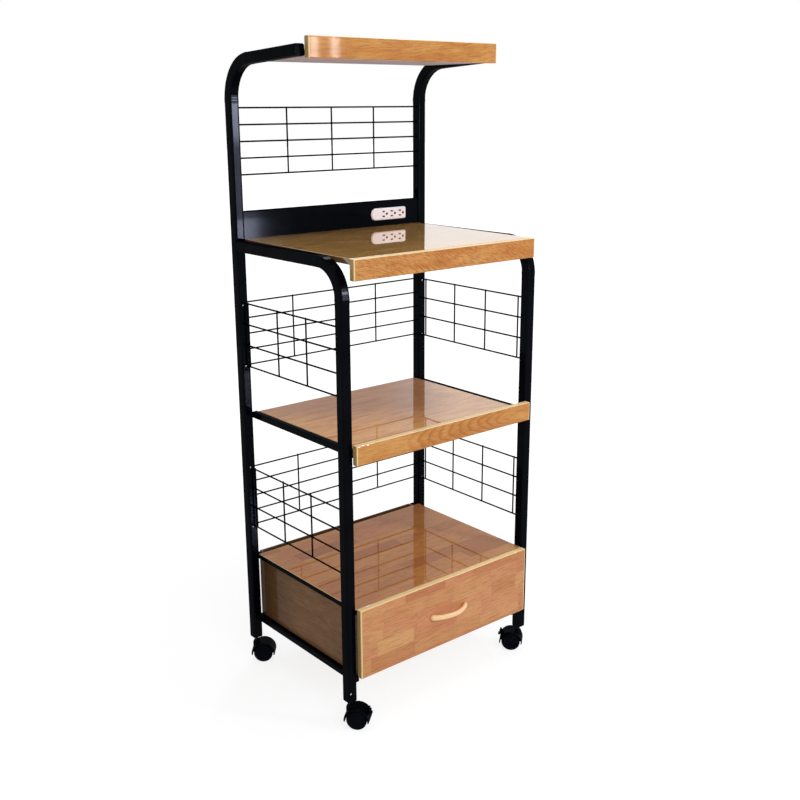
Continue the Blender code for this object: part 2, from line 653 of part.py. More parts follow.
def make_handle(drawer):
    # A bow of even thickness: its outer arc has the handle's span as chord and its reach as rise
    half = HANDLE_SPAN / 2
    outer = (half ** 2 + HANDLE_REACH ** 2) / (2 * HANDLE_REACH)
    inner = outer - HANDLE_THICKNESS
    center = outer - HANDLE_REACH
    outer_half = math.degrees(math.asin(half / outer))
    inner_half = math.degrees(math.acos(center / inner))
    bow = arc((0, center), outer, 270 - outer_half, 270 + outer_half, MID_ROUND)
    bow += arc((0, center), inner, 270 + inner_half, 270 - inner_half, MID_ROUND)
    lower = prism("Z", bow, -HANDLE_HEIGHT / 2, HANDLE_HEIGHT / 2)
    work = bmesh.new()
    work.from_mesh(lower)
    along = [edge for edge in work.edges if abs(edge.verts[0].co.z - edge.verts[1].co.z) < MERGE
             and not all(abs(vert.co.y) < MERGE for vert in edge.verts)]
    bmesh.ops.bevel(work, geom=along, offset=HANDLE_EDGE, segments=2, profile=ROUND_SHARE,
                    affect="EDGES")
    front = FRAME_FRONT - FRONT_STANDOFF - FRONT_THICKNESS - FIT
    add_piece("drawer_handle", to_mesh(work), "maple", drawer, (0, front, HANDLE_LEVEL), True)


def make_drawer(drawer):
    face = FRAME_FRONT - FRONT_STANDOFF
    half = FRAME_WIDTH / 2 - FRONT_INSET
    front = block((-half, face - FRONT_THICKNESS, FRONT_BOTTOM), (half, face, FRONT_TOP), BOARD_EDGE)
    add_piece("drawer_front", front, "stave board", drawer)
    floor = DRAWER_FLOOR + GROOVE_LIFT
    inner = DRAWER_OUTER - DRAWER_SIDE
    section = [(inner, DRAWER_FLOOR), (DRAWER_OUTER, DRAWER_FLOOR), (DRAWER_OUTER, DRAWER_RIM),
               (inner, DRAWER_RIM),
               (inner, floor + DRAWER_BOTTOM + FIT), (inner + GROOVE_DEPTH, floor + DRAWER_BOTTOM + FIT),
               (inner + GROOVE_DEPTH, floor - FIT), (inner, floor - FIT)]
    for side, sign in (("left", -1), ("right", 1)):
        outline = [(sign * x, z) for x, z in section]
        mesh = prism("Y", outline, DRAWER_START, DRAWER_END)
        add_piece(f"drawer_{side}_side", mesh, "drawer board", drawer)
    reach = inner - FIT
    back_low = (-reach, DRAWER_END - DRAWER_SIDE, floor + DRAWER_BOTTOM + FIT)
    back = block(back_low, (reach, DRAWER_END, DRAWER_RIM))
    add_piece("drawer_back", back, "drawer board", drawer)
    spread_x = inner + GROOVE_DEPTH - FIT
    bottom = block((-spread_x, DRAWER_START, floor), (spread_x, DRAWER_END, floor + DRAWER_BOTTOM))
    add_piece("drawer_bottom", bottom, "drawer board", drawer)
    make_runners(drawer)
    make_handle(drawer)


# Casters, drawn with the stem on Z and the axle trailing toward +X

def socket_mesh():
    low = POST_FOOT - FIT - SOCKET_FLANGE
    flange = prism("Z", square(TUBE, TUBE_CORNER), low, POST_FOOT - FIT)
    sleeve = prism("Z", inside_outline(FIT), POST_FOOT - FIT - WELD, POST_FOOT + SOCKET_LENGTH)
    bore_outline = circle(STEM_RADIUS + FIT, MID_ROUND, flat=True)
    hole = prism("Z", bore_outline, low - OVERRUN, POST_FOOT + SOCKET_LENGTH + OVERRUN)
    return cut(union(flange, sleeve), hole)


def stem_mesh():
    profile = [(0, STEM_FOOT), (STEM_RADIUS, STEM_FOOT), (STEM_RADIUS, STEM_TOP - STEM_TIP),
               (STEM_RADIUS - STEM_TIP, STEM_TOP), (0, STEM_TOP)]
    return turned(profile, MID_ROUND)


def lever_pin():
    angle = math.radians(LEVER_ANGLE)
    return (TRAIL + LEVER_PIN_RADIUS * math.cos(angle), WHEEL_RADIUS + LEVER_PIN_RADIUS * math.sin(angle))


def hood_mesh(with_ears):
    axle = (TRAIL, WHEEL_RADIUS)
    half = HOOD_WIDTH / 2
    rim = [(HOOD_RADIUS - HOOD_EDGE, half), (HOOD_RADIUS, half - HOOD_EDGE)]
    profile = [(0, -half)] + [(radius, -place) for radius, place in rim] + rim[::-1] + [(0, half)]
    body = moved(turned(profile, ROUND, "Y"), (TRAIL, 0, WHEEL_RADIUS))
    below = block((TRAIL - HOOD_RADIUS - OVERRUN, -half - OVERRUN, -HOOD_RADIUS),
                  (TRAIL + HOOD_RADIUS + OVERRUN, half + OVERRUN, HOOD_LIP))
    body = cut(body, below)
    boss = [(0, BOSS_FOOT), (BOSS_RADIUS, BOSS_FOOT), (BOSS_RADIUS, BOSS_SHOULDER),
            (BOSS_TIP_RADIUS, BOSS_TOP), (0, BOSS_TOP)]
    body = union(body, turned(boss, MID_ROUND))
    for sign in (-1, 1):
        ends = sorted((sign * WEB / 2, sign * (half + OVERRUN)))
        body = cut(body, prism("Y", circle(HOOD_RADIUS - HOOD_WALL, ROUND, axle, True), *ends))
    body = union(body, prism("Y", circle(AXLE_EYE, MID_ROUND, axle), -WEB / 2, WEB / 2))
    if with_ears:
        pin = lever_pin()
        for sign in (-1, 1):
            near = sign * (LEVER_WIDTH / 2 + FIT)
            ends = sorted((near, near + sign * EAR))
            ear = prism("Y", circle(EAR_RADIUS, SMALL_ROUND, pin), *ends)
            root_pin = Vector((pin[0] - axle[0], pin[1] - axle[1]))
            foot = Vector(axle) + root_pin * EAR_FOOT_SHARE
            top = Vector(pin)
            side = Vector((-root_pin.y, root_pin.x)).normalized() * (EAR_RADIUS - WELD)
            outline = [foot - side, top - side, top + side, foot + side]
            web = prism("Y", [tuple(point) for point in outline], *ends)
            body = union(body, union(ear, web))
        reach = LEVER_WIDTH / 2 + EAR + OVERRUN
        body = cut(body, prism("Y", circle(LEVER_PIN + EAR_CLEAR, SMALL_ROUND, pin), -reach, reach))
    bored = AXLE_RADIUS + AXLE_CLEAR
    body = cut(body, prism("Y", circle(bored, MID_ROUND, axle, True), -WEB, WEB))
    hole = circle(STEM_RADIUS + FIT, MID_ROUND, flat=True)
    return cut(body, prism("Z", hole, STEM_FOOT - FIT, BOSS_TOP + OVERRUN))


def wheels_mesh():
    # Both wheels and their axle, turned as one about Y
    near = WEB / 2 + WEB_CLEAR
    far = near + WHEEL_WIDTH
    ease = WHEEL_SHOULDER * SHOULDER_SHARE
    half = [(AXLE_RADIUS, near), (WHEEL_RADIUS - WHEEL_SHOULDER / 2, near),
            (WHEEL_RADIUS, near + WHEEL_SHOULDER / 2), (WHEEL_RADIUS, far - WHEEL_SHOULDER),
            (WHEEL_RADIUS - ease, far - ease),
            (WHEEL_RADIUS - WHEEL_SHOULDER, far), (WHEEL_DISH_RADIUS, far),
            (WHEEL_DISH_RADIUS - WHEEL_DISH, far - WHEEL_DISH), (HUB_RADIUS, far - WHEEL_DISH),
            (HUB_RADIUS - WHEEL_DISH / 2, far - WHEEL_DISH / 2), (0, far - WHEEL_DISH / 2)]
    profile = [(radius, -place) for radius, place in reversed(half)] + half
    return turned(profile, WHEEL_ROUND, "Y", True)


def lever_mesh():
    # A rocker drawn about its pin: along the hood's rim, and outward from it, with a tab at each end
    turn = math.radians(LEVER_ANGLE)
    outward = Vector((math.cos(turn), math.sin(turn)))
    along = Vector((outward.y, -outward.x))
    half = LEVER_LENGTH / 2
    thick = LEVER_THICKNESS / 2
    outline = [(LEVER_TAB - half, -thick), (half - LEVER_TAB, -thick), (half, thick),
               (half - LEVER_TAB, thick + LEVER_TOE), (LEVER_TAB, thick), (2 * LEVER_TAB - half, thick),
               (LEVER_TAB - half, thick + LEVER_HEEL), (-half, thick + LEVER_HEEL - LEVER_TAB / 2)]
    side = LEVER_WIDTH / 2 - FIT
    reach = LEVER_WIDTH / 2 + EAR
    rocker = prism("Y", [tuple(along * a + outward * b) for a, b in outline], -side, side)
    return union(rocker, prism("Y", circle(LEVER_PIN, SMALL_ROUND), -reach, reach))


def make_casters(root):
    spots = {"front_left": (-POST_X, -POST_Y), "front_right": (POST_X, -POST_Y),
             "back_left": (-POST_X, POST_Y), "back_right": (POST_X, POST_Y)}
    for name, (x, y) in spots.items():
        add_piece(f"{name}_caster_socket", socket_mesh(), "caster nylon", root, (x, y, 0), True)
        turn = math.radians(CASTER_AZIMUTHS[name])
        swivel = make_empty(f"{name} swivel", (x, y, 0), root, (0, 0, turn))
        braked = name.startswith("front")
        add_piece(f"{name}_caster_stem", stem_mesh(), "stem steel", swivel, smooth=True)
        add_piece(f"{name}_caster_hood", hood_mesh(braked), "caster nylon", swivel, smooth=True)
        axle = (TRAIL, 0, WHEEL_RADIUS)
        add_piece(f"{name}_wheels", wheels_mesh(), "wheel nylon", swivel, axle, True)
        if braked:
            pin_x, pin_z = lever_pin()
            add_piece(f"{name}_brake_lever", lever_mesh(), "caster nylon", swivel, (pin_x, 0, pin_z))


def center_on_floor(root):
    # The cart's outer box is centred over the origin, with its lowest point on the floor
    bpy.context.view_layer.update()
    corners = []
    for item in bpy.data.objects:
        if item.type == "MESH":
            corners += [item.matrix_world @ vertex.co for vertex in item.data.vertices]
    low = [min(corner[i] for corner in corners) for i in range(3)]
    high = [max(corner[i] for corner in corners) for i in range(3)]
    root.location = (-(low[0] + high[0]) / 2, -(low[1] + high[1]) / 2, -low[2])
    bpy.context.view_layer.update()


def main():
    clear_scene()
    root = make_empty("cart", (0, 0, 0))
    make_posts(root)
    make_rails(root)
    make_shelves(root)
    make_outlets(root)
    make_grids(root)
    make_cabinet(root)
    make_channels(root)
    drawer = make_empty("drawer", (0, 0, 0), root)
    make_drawer(drawer)
    make_casters(root)
    center_on_floor(root)


main()
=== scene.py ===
import json
import math

import bmesh
import bpy
import numpy as np
from mathutils import Matrix, Vector


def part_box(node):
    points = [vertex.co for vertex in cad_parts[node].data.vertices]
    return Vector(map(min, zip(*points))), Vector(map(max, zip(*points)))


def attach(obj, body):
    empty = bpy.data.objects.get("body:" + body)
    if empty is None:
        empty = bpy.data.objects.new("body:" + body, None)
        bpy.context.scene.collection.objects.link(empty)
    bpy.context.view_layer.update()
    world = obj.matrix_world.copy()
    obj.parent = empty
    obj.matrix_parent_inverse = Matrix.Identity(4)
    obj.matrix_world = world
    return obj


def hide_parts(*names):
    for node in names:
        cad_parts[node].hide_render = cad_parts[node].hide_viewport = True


# A microwave cart: glossy dark square tube, wire grids, oak fascias, glossy shelves, an outlet
# strip, a drawer cabinet and twin-wheel casters. Lengths are in metres, colours in 8-bit values.

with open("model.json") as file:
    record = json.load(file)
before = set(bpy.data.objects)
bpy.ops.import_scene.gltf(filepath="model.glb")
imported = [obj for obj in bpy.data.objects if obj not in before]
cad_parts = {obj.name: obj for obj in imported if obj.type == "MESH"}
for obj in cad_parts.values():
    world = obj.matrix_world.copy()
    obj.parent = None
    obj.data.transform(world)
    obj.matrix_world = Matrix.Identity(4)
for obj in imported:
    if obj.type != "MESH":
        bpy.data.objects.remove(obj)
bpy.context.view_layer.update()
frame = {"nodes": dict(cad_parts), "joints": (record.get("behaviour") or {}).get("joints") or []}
joints = {joint["name"]: joint for joint in frame["joints"]}
print("stage: frame loaded,", len(frame["nodes"]), "nodes")


# Shader tools

class Value:
    # One socket of a material; Python's operators on it add Math nodes
    def __init__(self, graph, socket):
        self.graph = graph
        self.socket = socket

    def math(self, operation, *others):
        inputs = dict(enumerate((self,) + others))
        return self.graph.node("ShaderNodeMath", {"operation": operation}, inputs)

    def __add__(self, other):
        return self.math("ADD", other)

    __radd__ = __add__

    def __mul__(self, other):
        return self.math("MULTIPLY", other)

    __rmul__ = __mul__

    def __sub__(self, other):
        return self.math("SUBTRACT", other)

    def __rsub__(self, other):
        return (self * -1.0) + other

    def __truediv__(self, other):
        return self.math("DIVIDE", other)

    def __pow__(self, other):
        return self.math("POWER", other)

    def __abs__(self):
        return self.math("ABSOLUTE")


class Graph:
    # A material's node tree, built from Python expressions
    def __init__(self, name):
        self.material = bpy.data.materials.new(name)
        self.material.use_nodes = True
        self.tree = self.material.node_tree
        self.shader = self.tree.nodes["Principled BSDF"]

    def node(self, kind, settings, inputs, output=0):
        made = self.tree.nodes.new(kind)
        for key, setting in settings.items():
            setattr(made, key, setting)
        for key, value in inputs.items():
            self.feed(made.inputs[key], value)
        return Value(self, made.outputs[output])

    def feed(self, socket, value):
        if isinstance(value, Value):
            self.tree.links.new(value.socket, socket)
        else:
            socket.default_value = value

    def split(self, source):
        # The piece's own coordinates (Object) or its surface's direction (Normal) as x, y and z
        point = self.node("ShaderNodeTexCoord", {}, {}, source)
        return [self.node("ShaderNodeSeparateXYZ", {}, {0: point}, i) for i in range(3)]

    def vector(self, x, y, z):
        return self.node("ShaderNodeCombineXYZ", {}, {0: x, 1: y, 2: z})

    def noise(self, vector, scale=1.0, detail=2.0, roughness=0.5):
        inputs = {"Vector": vector, "Scale": scale, "Detail": detail, "Roughness": roughness}
        return self.node("ShaderNodeTexNoise", {}, inputs, "Fac")

    def chance(self, cell):
        # One even random number for each whole-numbered cell
        return self.node("ShaderNodeTexWhiteNoise", {"noise_dimensions": "3D"}, {"Vector": cell})

    def smooth(self, value, low, high, start=0.0, end=1.0):
        inputs = {"Value": value, "From Min": low, "From Max": high, "To Min": start, "To Max": end}
        return self.node("ShaderNodeMapRange", {"interpolation_type": "SMOOTHSTEP"}, inputs)

    def mix(self, factor, first, second):
        inputs = {0: factor, 6: first, 7: second}
        return self.node("ShaderNodeMix", {"data_type": "RGBA"}, inputs, 2)

    def bump(self, height, distance):
        inputs = {"Height": height, "Distance": distance, "Strength": 1.0}
        return self.node("ShaderNodeBump", {}, inputs)

    def finish(self, **sockets):
        # Principled sockets by name, with _ for a space; a plain number is set on the socket itself
        for key, value in sockets.items():
            self.feed(self.shader.inputs[key.replace("_", " ")], value)
        return self.material


def paint(red, green, blue):
    channels = [channel / 255 for channel in (red, green, blue)]
    curve = [c / 12.92 if c <= 0.04045 else ((c + 0.055) / 1.055) ** 2.4 for c in channels]
    return (*curve, 1.0)


# Mesh tools

def buildMesh(name, shells):
    # Each shell is a grid of points [ring, place, xyz], closed round its rings and at both ends
    corners, faces, start = [], [], 0
    for grid in shells:
        rings, count = grid.shape[:2]
        index = np.arange(rings * count).reshape(rings, count) + start
        turned = np.roll(index, -1, axis=1)
        quads = np.stack([index[:-1], turned[:-1], turned[1:], index[1:]], axis=-1)
        faces += quads.reshape(-1, 4).tolist()
        faces += [index[0, ::-1].tolist(), index[-1].tolist()]
        corners.append(grid.reshape(-1, 3))
        start += rings * count
    mesh = bpy.data.meshes.new(name)
    mesh.from_pydata(np.concatenate(corners).tolist(), [], faces)
    mesh.update()
    return mesh


def addPiece(name, mesh, material, body, nodes=(), sharp=35):
    # A finished piece in the cart's own coordinates, riding on its body in place of its nodes
    piece = bpy.data.objects.new(name, mesh)
    bpy.context.scene.collection.objects.link(piece)
    mesh.materials.clear()
    mesh.materials.append(material)
    mesh.shade_smooth()
    mesh.set_sharp_from_angle(angle=math.radians(sharp))
    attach(piece, body)
    if nodes:
        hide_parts(*nodes)
    return piece


def outline(halfWide, halfHigh, radius, steps):
    # Rectangle with round corners: four quarter circles about the corners' centres, anticlockwise,
    # with a point on the flat just before and after each so that the flats shade flat
    shoulder = 0.25
    turns = np.linspace(0, np.pi / 2, steps + 1)
    arcX = np.concatenate([[1.0], np.cos(turns), [-shoulder]])
    arcY = np.concatenate([[-shoulder], np.sin(turns), [1.0]])
    parts = []
    for right, up, cos, sin in ((1, 1, 1, 0), (-1, 1, 0, 1), (-1, -1, -1, 0), (1, -1, 0, -1)):
        wide = right * (halfWide - radius) + radius * (cos * arcX - sin * arcY)
        high = up * (halfHigh - radius) + radius * (sin * arcX + cos * arcY)
        parts.append(np.stack([wide, high], axis=-1))
    return np.concatenate(parts)


def easedBox(low, high, radius, axis=0, steps=3):
    # Box with every edge rounded: round-cornered outlines set along one axis, drawn in toward both
    # ends by a quarter circle; a smaller ring lies flat on each end so that the end shades flat
    first, second = [i for i in range(3) if i != axis]
    size = high - low
    landing = radius * 1.25
    corner = radius * 1.5
    turns = np.linspace(np.pi / 2, 0, steps + 1)
    places = np.concatenate([[0], radius * (1 - np.sin(turns)), [landing]])
    insets = np.concatenate([[landing], radius * (1 - np.cos(turns)), [0]])
    places = np.concatenate([places, size[axis] - places[::-1]])
    insets = np.concatenate([insets, insets[::-1]])
    rings = []
    for place, inset in zip(places, insets):
        flat = outline(size[first] / 2 - inset, size[second] / 2 - inset, corner - inset, steps)
        ring = np.zeros((len(flat), 3))
        ring[:, axis] = low[axis] + place
        ring[:, first] = (low[first] + high[first]) / 2 + flat[:, 0]
        ring[:, second] = (low[second] + high[second]) / 2 + flat[:, 1]
        rings.append(ring)
    grid = np.stack(rings)
    return grid if axis != 1 else grid[:, ::-1]


def boxPiece(name, node, radius, material, body, axis=0, trim=(0.0, 0.0), rise=0.0):
    # Eased box in its node's box, trimmed in front and behind, and raised toward its back
    low, high = (np.array(corner, float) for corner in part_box(node))
    low[1] += trim[0]
    high[1] -= trim[1]
    grid = easedBox(low, high, radius, axis)
    grid[..., 2] += rise * (grid[..., 1] - low[1]) / (high[1] - low[1])
    return addPiece(name, buildMesh(name, [grid]), material, body, [node])


def carried(profile, path, sideways, tangents):
    # Profile carried along a path: its first coordinate goes sideways, its second square to both
    upward = np.cross(tangents, sideways)
    return (path[:, None, :] + profile[None, :, 0:1] * sideways[:, None, :]
            + profile[None, :, 1:2] * upward[:, None, :])


def circleAbout(axis, hint, count):
    # Unit circle square to an axis: cos(t) times one direction plus sin(t) times the other
    side = np.cross(axis, hint)
    side /= np.linalg.norm(side)
    other = np.cross(axis, side)
    angles = np.arange(count) * 2 * np.pi / count
    return np.cos(angles)[:, None] * side + np.sin(angles)[:, None] * other


def rod(start, end, radius, sides):
    # Straight round wire: a circle carried from start to end, drawn in a little at its tips
    along = (end - start) / np.linalg.norm(end - start)
    circle = circleAbout(along, (0.3, 0.5, 0.8), sides)
    tip = radius * 0.3
    stations = [(start, radius - tip), (start + along * tip, radius),
                (end - along * tip, radius), (end, radius - tip)]
    return np.stack([point + circle * reach for point, reach in stations])


def lathe(profile, center, axis, count):
    # Turned form: (radius, height) pairs swept round an axis through the centre
    axis = np.array(axis, float) / np.linalg.norm(axis)
    circle = circleAbout(axis, (0.31, 0.52, 0.79), count)
    profile = np.array(profile, float)
    return (np.array(center) + profile[:, 1, None, None] * axis
            + profile[:, 0, None, None] * circle[None])


dressLook = {"mergeWithin": 0.00002, "flatAngle": 0.6, "easedAngle": 40, "sharpAngle": 32,
             "segments": 2}


def dressed(name, node, material, body, edge=0.0):
    # The node's own shape with its triangles merged into whole faces and its edges eased
    work = bmesh.new()
    work.from_mesh(frame["nodes"][node].data)
    bmesh.ops.remove_doubles(work, verts=work.verts, dist=dressLook["mergeWithin"])
    flatAngle = math.radians(dressLook["flatAngle"])
    bmesh.ops.dissolve_limit(work, angle_limit=flatAngle, verts=work.verts, edges=work.edges)
    mesh = bpy.data.meshes.new(name)
    work.to_mesh(mesh)
    work.free()
    piece = addPiece(name, mesh, material, body, [node], dressLook["sharpAngle"])
    if edge:
        bevel = piece.modifiers.new("edge", "BEVEL")
        bevel.width = edge
        bevel.segments = dressLook["segments"]
        bevel.limit_method = "ANGLE"
        bevel.angle_limit = math.radians(dressLook["easedAngle"])
        bevel.harden_normals = True
    return piece


def setMaterial(node, material):
    # A carried-over node in its own shape
    piece = frame["nodes"][node]
    piece.data.materials.clear()
    piece.data.materials.append(material)


def toCamel(words):
    first, *others = words.split("_")
    return first + "".join(word[0].upper() + word[1:] for word in others)


# Powder coat of the tubes and wires

cloudOver = (0.3, 0.7)  # the parts of a cloud's and a fibre's noise over which a value changes
fibreOver = (0.2, 0.8)
coatLook = {
    "deep": paint(2, 3, 6), "body": paint(4, 7, 14), "speck": paint(30, 34, 50), "speckShare": 0.3,
    "speckOver": (0.70, 0.80), "gloss": 0.048, "glossSpread": 0.15, "ior": 1.6, "roughness": 0.5,
    "tubeRoughness": 0.09, "wireRoughness": 0.25, "peelScale": 240, "peelDepth": 0.00004,
    "cloudScale": 9, "dustScale": 1500,
}


def around(value, spread):
    return value * (1 - spread), value * (1 + spread)


def powderCoat(name, coatRoughness):
    # Gloss powder coat: a faint orange peel, cloudy depth and a few specks under a thin clear gloss
    g = Graph(name)
    look = coatLook
    point = g.vector(*g.split("Object"))
    cloud = g.noise(point, look["cloudScale"], 3, 0.6)
    dust = g.smooth(g.noise(point, look["dustScale"], 1), *look["speckOver"])
    dark = g.mix(cloud, look["deep"], look["body"])
    gloss = around(look["gloss"], look["glossSpread"])
    return g.finish(Base_Color=g.mix(dust * look["speckShare"], dark, look["speck"]),
                    Roughness=look["roughness"], Specular_IOR_Level=0.0, Coat_IOR=look["ior"],
                    Coat_Roughness=coatRoughness, Coat_Weight=g.smooth(cloud, *cloudOver, *gloss),
                    Normal=g.bump(g.noise(point, look["peelScale"]), look["peelDepth"]))


# Oak of the fascias, boards, panels, drawer box and handle. A grain is its noise's scale along,
# across and through the board; the two numbers of an over are where its change starts and ends.

oakLook = {
    "light": paint(208, 150, 80), "body": paint(189, 123, 56), "late": paint(160, 94, 38),
    "pore": paint(128, 72, 28), "band": paint(250, 226, 176), "bandShade": paint(240, 208, 152),
    # The end colours paint the end faces darker than the band: painted shade
    "end": paint(190, 160, 104), "endShade": paint(170, 138, 84), "endGrain": (90, 500, 90),
    "ringPitch": 0.0085, "pithDepth": 0.026, "slope": 0.07, "warp": 0.060, "apex": 0.0,
    "ringReach": 9.0, "ringFade": 0.6, "ringShare": 0.16, "lateOver": (0.30, 0.85),
    "slowGrain": (3.1, 9, 9), "rippleGrain": (26, 130, 90), "rippleShare": 0.7,
    "slant": 0.10, "slantDrift": 0.05, "streakAlong": 30, "streakAcross": 300,
    "streakThrough": 60, "streakShare": 0.62, "streakOver": (0.46, 0.68),
    "fibreGrain": (34, 1100, 900), "fibreShare": 0.45, "cloudGrain": (9, 40, 20),
    "bodyOver": (0.36, 0.64), "poreGrain": (150, 1900, 1900), "poreShare": 0.5,
    "poreOver": (0.60, 0.72),
}
topOak = {**oakLook, "slant": -0.06, "streakAlong": 26, "streakAcross": 340}
mainOak = {**oakLook, "slant": 0.42, "streakAlong": 60, "streakAcross": 300, "streakShare": 0.75,
           "body": paint(189, 117, 50), "late": paint(152, 86, 32)}
midOak = {**oakLook, "slant": 0.05, "ringPitch": 0.0052, "pithDepth": 0.046, "slope": -0.165,
          "apex": 0.03, "warp": 0.030, "ringReach": 0.19, "ringShare": 0.62, "streakShare": 0.45}


def grainNoise(g, along, across, through, grain, shift, detail, roughness=0.5):
    point = g.vector(along * grain[0] + shift, across * grain[1], through * grain[2])
    return g.noise(point, 1.0, detail, roughness)


def oakColor(g, along, across, through, look, shift):
    # Oak as cut from a log: growth rings are cones about a pith behind the board and close in
    # arches; over them run slanting streaks, fine fibre and short open pores
    slow = grainNoise(g, along, across, through, look["slowGrain"], shift, 3, 0.55)
    lift = across + (slow - 0.5) * look["warp"]
    away = (along - look["apex"]) * look["slope"] + look["pithDepth"]
    ripple = grainNoise(g, along, across, through, look["rippleGrain"], shift, 2)
    radius = ((lift * lift + away * away) ** 0.5
              + (ripple - 0.5) * look["ringPitch"] * look["rippleShare"])
    ring = (radius / look["ringPitch"]).math("FRACT")
    start, full = look["lateOver"]
    late = g.smooth(ring, start, full) * (1 - g.smooth(ring, full, 1.0))
    reach = look["ringReach"]
    late = late * g.smooth(abs(along - look["apex"]), reach, reach * look["ringFade"])
    tilted = across + along * look["slant"] + (slow - 0.5) * look["slantDrift"]
    streakGrain = (look["streakAlong"], look["streakAcross"], look["streakThrough"])
    streak = grainNoise(g, along, tilted, through, streakGrain, shift, 3, 0.6)
    fibre = grainNoise(g, along, tilted, through, look["fibreGrain"], shift, 3, 0.6)
    openPore = grainNoise(g, along, tilted, through, look["poreGrain"], shift, 1)
    cloud = grainNoise(g, along, across, through, look["cloudGrain"], shift, 2)
    ground = fibre * look["fibreShare"] + cloud * (1 - look["fibreShare"])
    plain = g.mix(g.smooth(ground, *look["bodyOver"]), look["light"], look["body"])
    streaks = g.smooth(streak, *look["streakOver"]) * look["streakShare"]
    lined = g.mix(late * look["ringShare"], g.mix(streaks, plain, look["late"]), look["late"])
    pores = g.smooth(openPore, *look["poreOver"]) * look["poreShare"]
    return g.mix(pores, lined, look["pore"]), fibre


# A cream band goes round the top and the front corners of a board's face; its end faces keep the
# band's streaks in a darker colour, which is painted shade

bandLook = {"topOver": (0.30, 0.55), "endOver": (0.80, 0.97), "cornerShare": 0.8,
            "cornerDeep": (0.0030, 0.0016)}


def edgeBand(g, node, color, look, face):
    # The masks follow the surface's direction and the distance to the board's front corners
    low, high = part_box(node)
    x, y, z = g.split("Object")
    faceX, faceY, faceZ = g.split("Normal")
    scaled = (place * scale for place, scale in zip((x, y, z), look["endGrain"]))
    streak = g.noise(g.vector(*scaled))
    band = g.mix(streak, look["band"], look["bandShade"])
    # Painted shade: the end faces' colour, the band's streaks in a darker tone
    shadedEnd = g.mix(streak, look["end"], look["endShade"])
    aside = g.smooth(abs(x), *(high.x - inset for inset in face["cornerWide"]))
    corner = aside * g.smooth(y, *(low.y + inset for inset in bandLook["cornerDeep"]))
    top = g.smooth(abs(faceZ) if face["bandBelow"] else faceZ, *bandLook["topOver"])
    banded = g.mix(top.math("MAXIMUM", corner * bandLook["cornerShare"]), color, band)
    return g.mix(g.smooth(abs(faceX), *bandLook["endOver"]) * (1 - corner), banded, shadedEnd)


fasciaLook = {"radius": 0.0016, "cornerWide": (0.0034, 0.0020), "bandBelow": False,
              "specular": 0.06, "gloss": 0.30, "coatRoughness": 0.045, "roughness": (0.40, 0.54),
              "grainDepth": 0.000015}


def woodFinish(g, color, fibre, look):
    return g.finish(Base_Color=color, Roughness=g.smooth(fibre, *fibreOver, *look["roughness"]),
                    Specular_IOR_Level=look["specular"], Coat_Weight=look["gloss"],
                    Coat_Roughness=look["coatRoughness"], Normal=g.bump(fibre, look["grainDepth"]))


def oakFascia(name, node, look, shift):
    g = Graph(name)
    low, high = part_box(node)
    x, y, z = g.split("Object")
    color, fibre = oakColor(g, x, z - (low.z + high.z) / 2, y, look, shift)
    return woodFinish(g, edgeBand(g, node, color, look, fasciaLook), fibre, fasciaLook)


# Butcher block of the drawer front and the cabinet's top

staveLook = {
    "yellow": paint(212, 160, 104), "pink": paint(204, 138, 96), "deep": paint(180, 112, 70),
    "grain": paint(158, 94, 52), "fleck": paint(134, 78, 42), "seam": 0.0005, "seamShare": 0.28,
    "rowHeight": 0.0365, "staveLength": 0.118, "place": (0.31, 0.007), "waver": (3.9, 0.13),
    "tintShare": (0.6, 0.5), "pinkOver": (0.2, 0.85), "deepShare": 0.60, "deepOver": (0.3, 1.0),
    "lineShare": (0.4, 0.6), "grainShare": 0.46, "grainOver": (0.44, 0.62), "fleckShare": 0.35,
    "fleckOver": (0.62, 0.74), "bend": 0.012, "bendGrain": (6, 18, 20.0),
    "driftGrain": (22, 260, 20.0), "fibreGrain": (40, 620, 60.0), "fleckGrain": (90, 1300, 9.0),
    "cloudGrain": (11, 26, 3.0),
    # The end colours paint the end faces darker than the band: painted shade
    "band": paint(250, 224, 166), "bandShade": paint(240, 206, 142), "end": paint(176, 150, 96),
    "endShade": paint(150, 124, 74), "endGrain": (60, 400, 60),
}
frontLook = {"radius": 0.0018, "cornerWide": (0.0040, 0.0024), "bandBelow": True,
             "specular": 0.12, "gloss": 0.06, "coatRoughness": 0.10, "roughness": (0.40, 0.52),
             "grainDepth": 0.00003}


def stavePattern(g, along, across, look):
    # Rows of staves cut into uneven lengths; each block has its own tint. The odd numbers set the
    # random draws apart.
    rows = across / look["rowHeight"]
    row = rows.math("FLOOR")
    rowShift = g.node("ShaderNodeTexWhiteNoise", {"noise_dimensions": "1D"}, {"W": row + 0.37})
    even = along / look["staveLength"] + rowShift * 9.0
    pace, reach = look["waver"]
    run = even + (even * pace).math("SINE") * reach
    block = run.math("FLOOR")
    tint = g.chance(g.vector(block, row, 0.5))
    second = g.chance(g.vector(block + 31.0, row, 2.5))
    inRow = abs(rows.math("FRACT") - 0.5)
    inRun = abs(run.math("FRACT") - 0.5)
    seam = g.smooth(inRow, 0.5 - look["seam"] / look["rowHeight"], 0.5)
    butt = g.smooth(inRun, 0.5 - look["seam"] / look["staveLength"], 0.5)
    return tint, second, seam.math("MAXIMUM", butt)


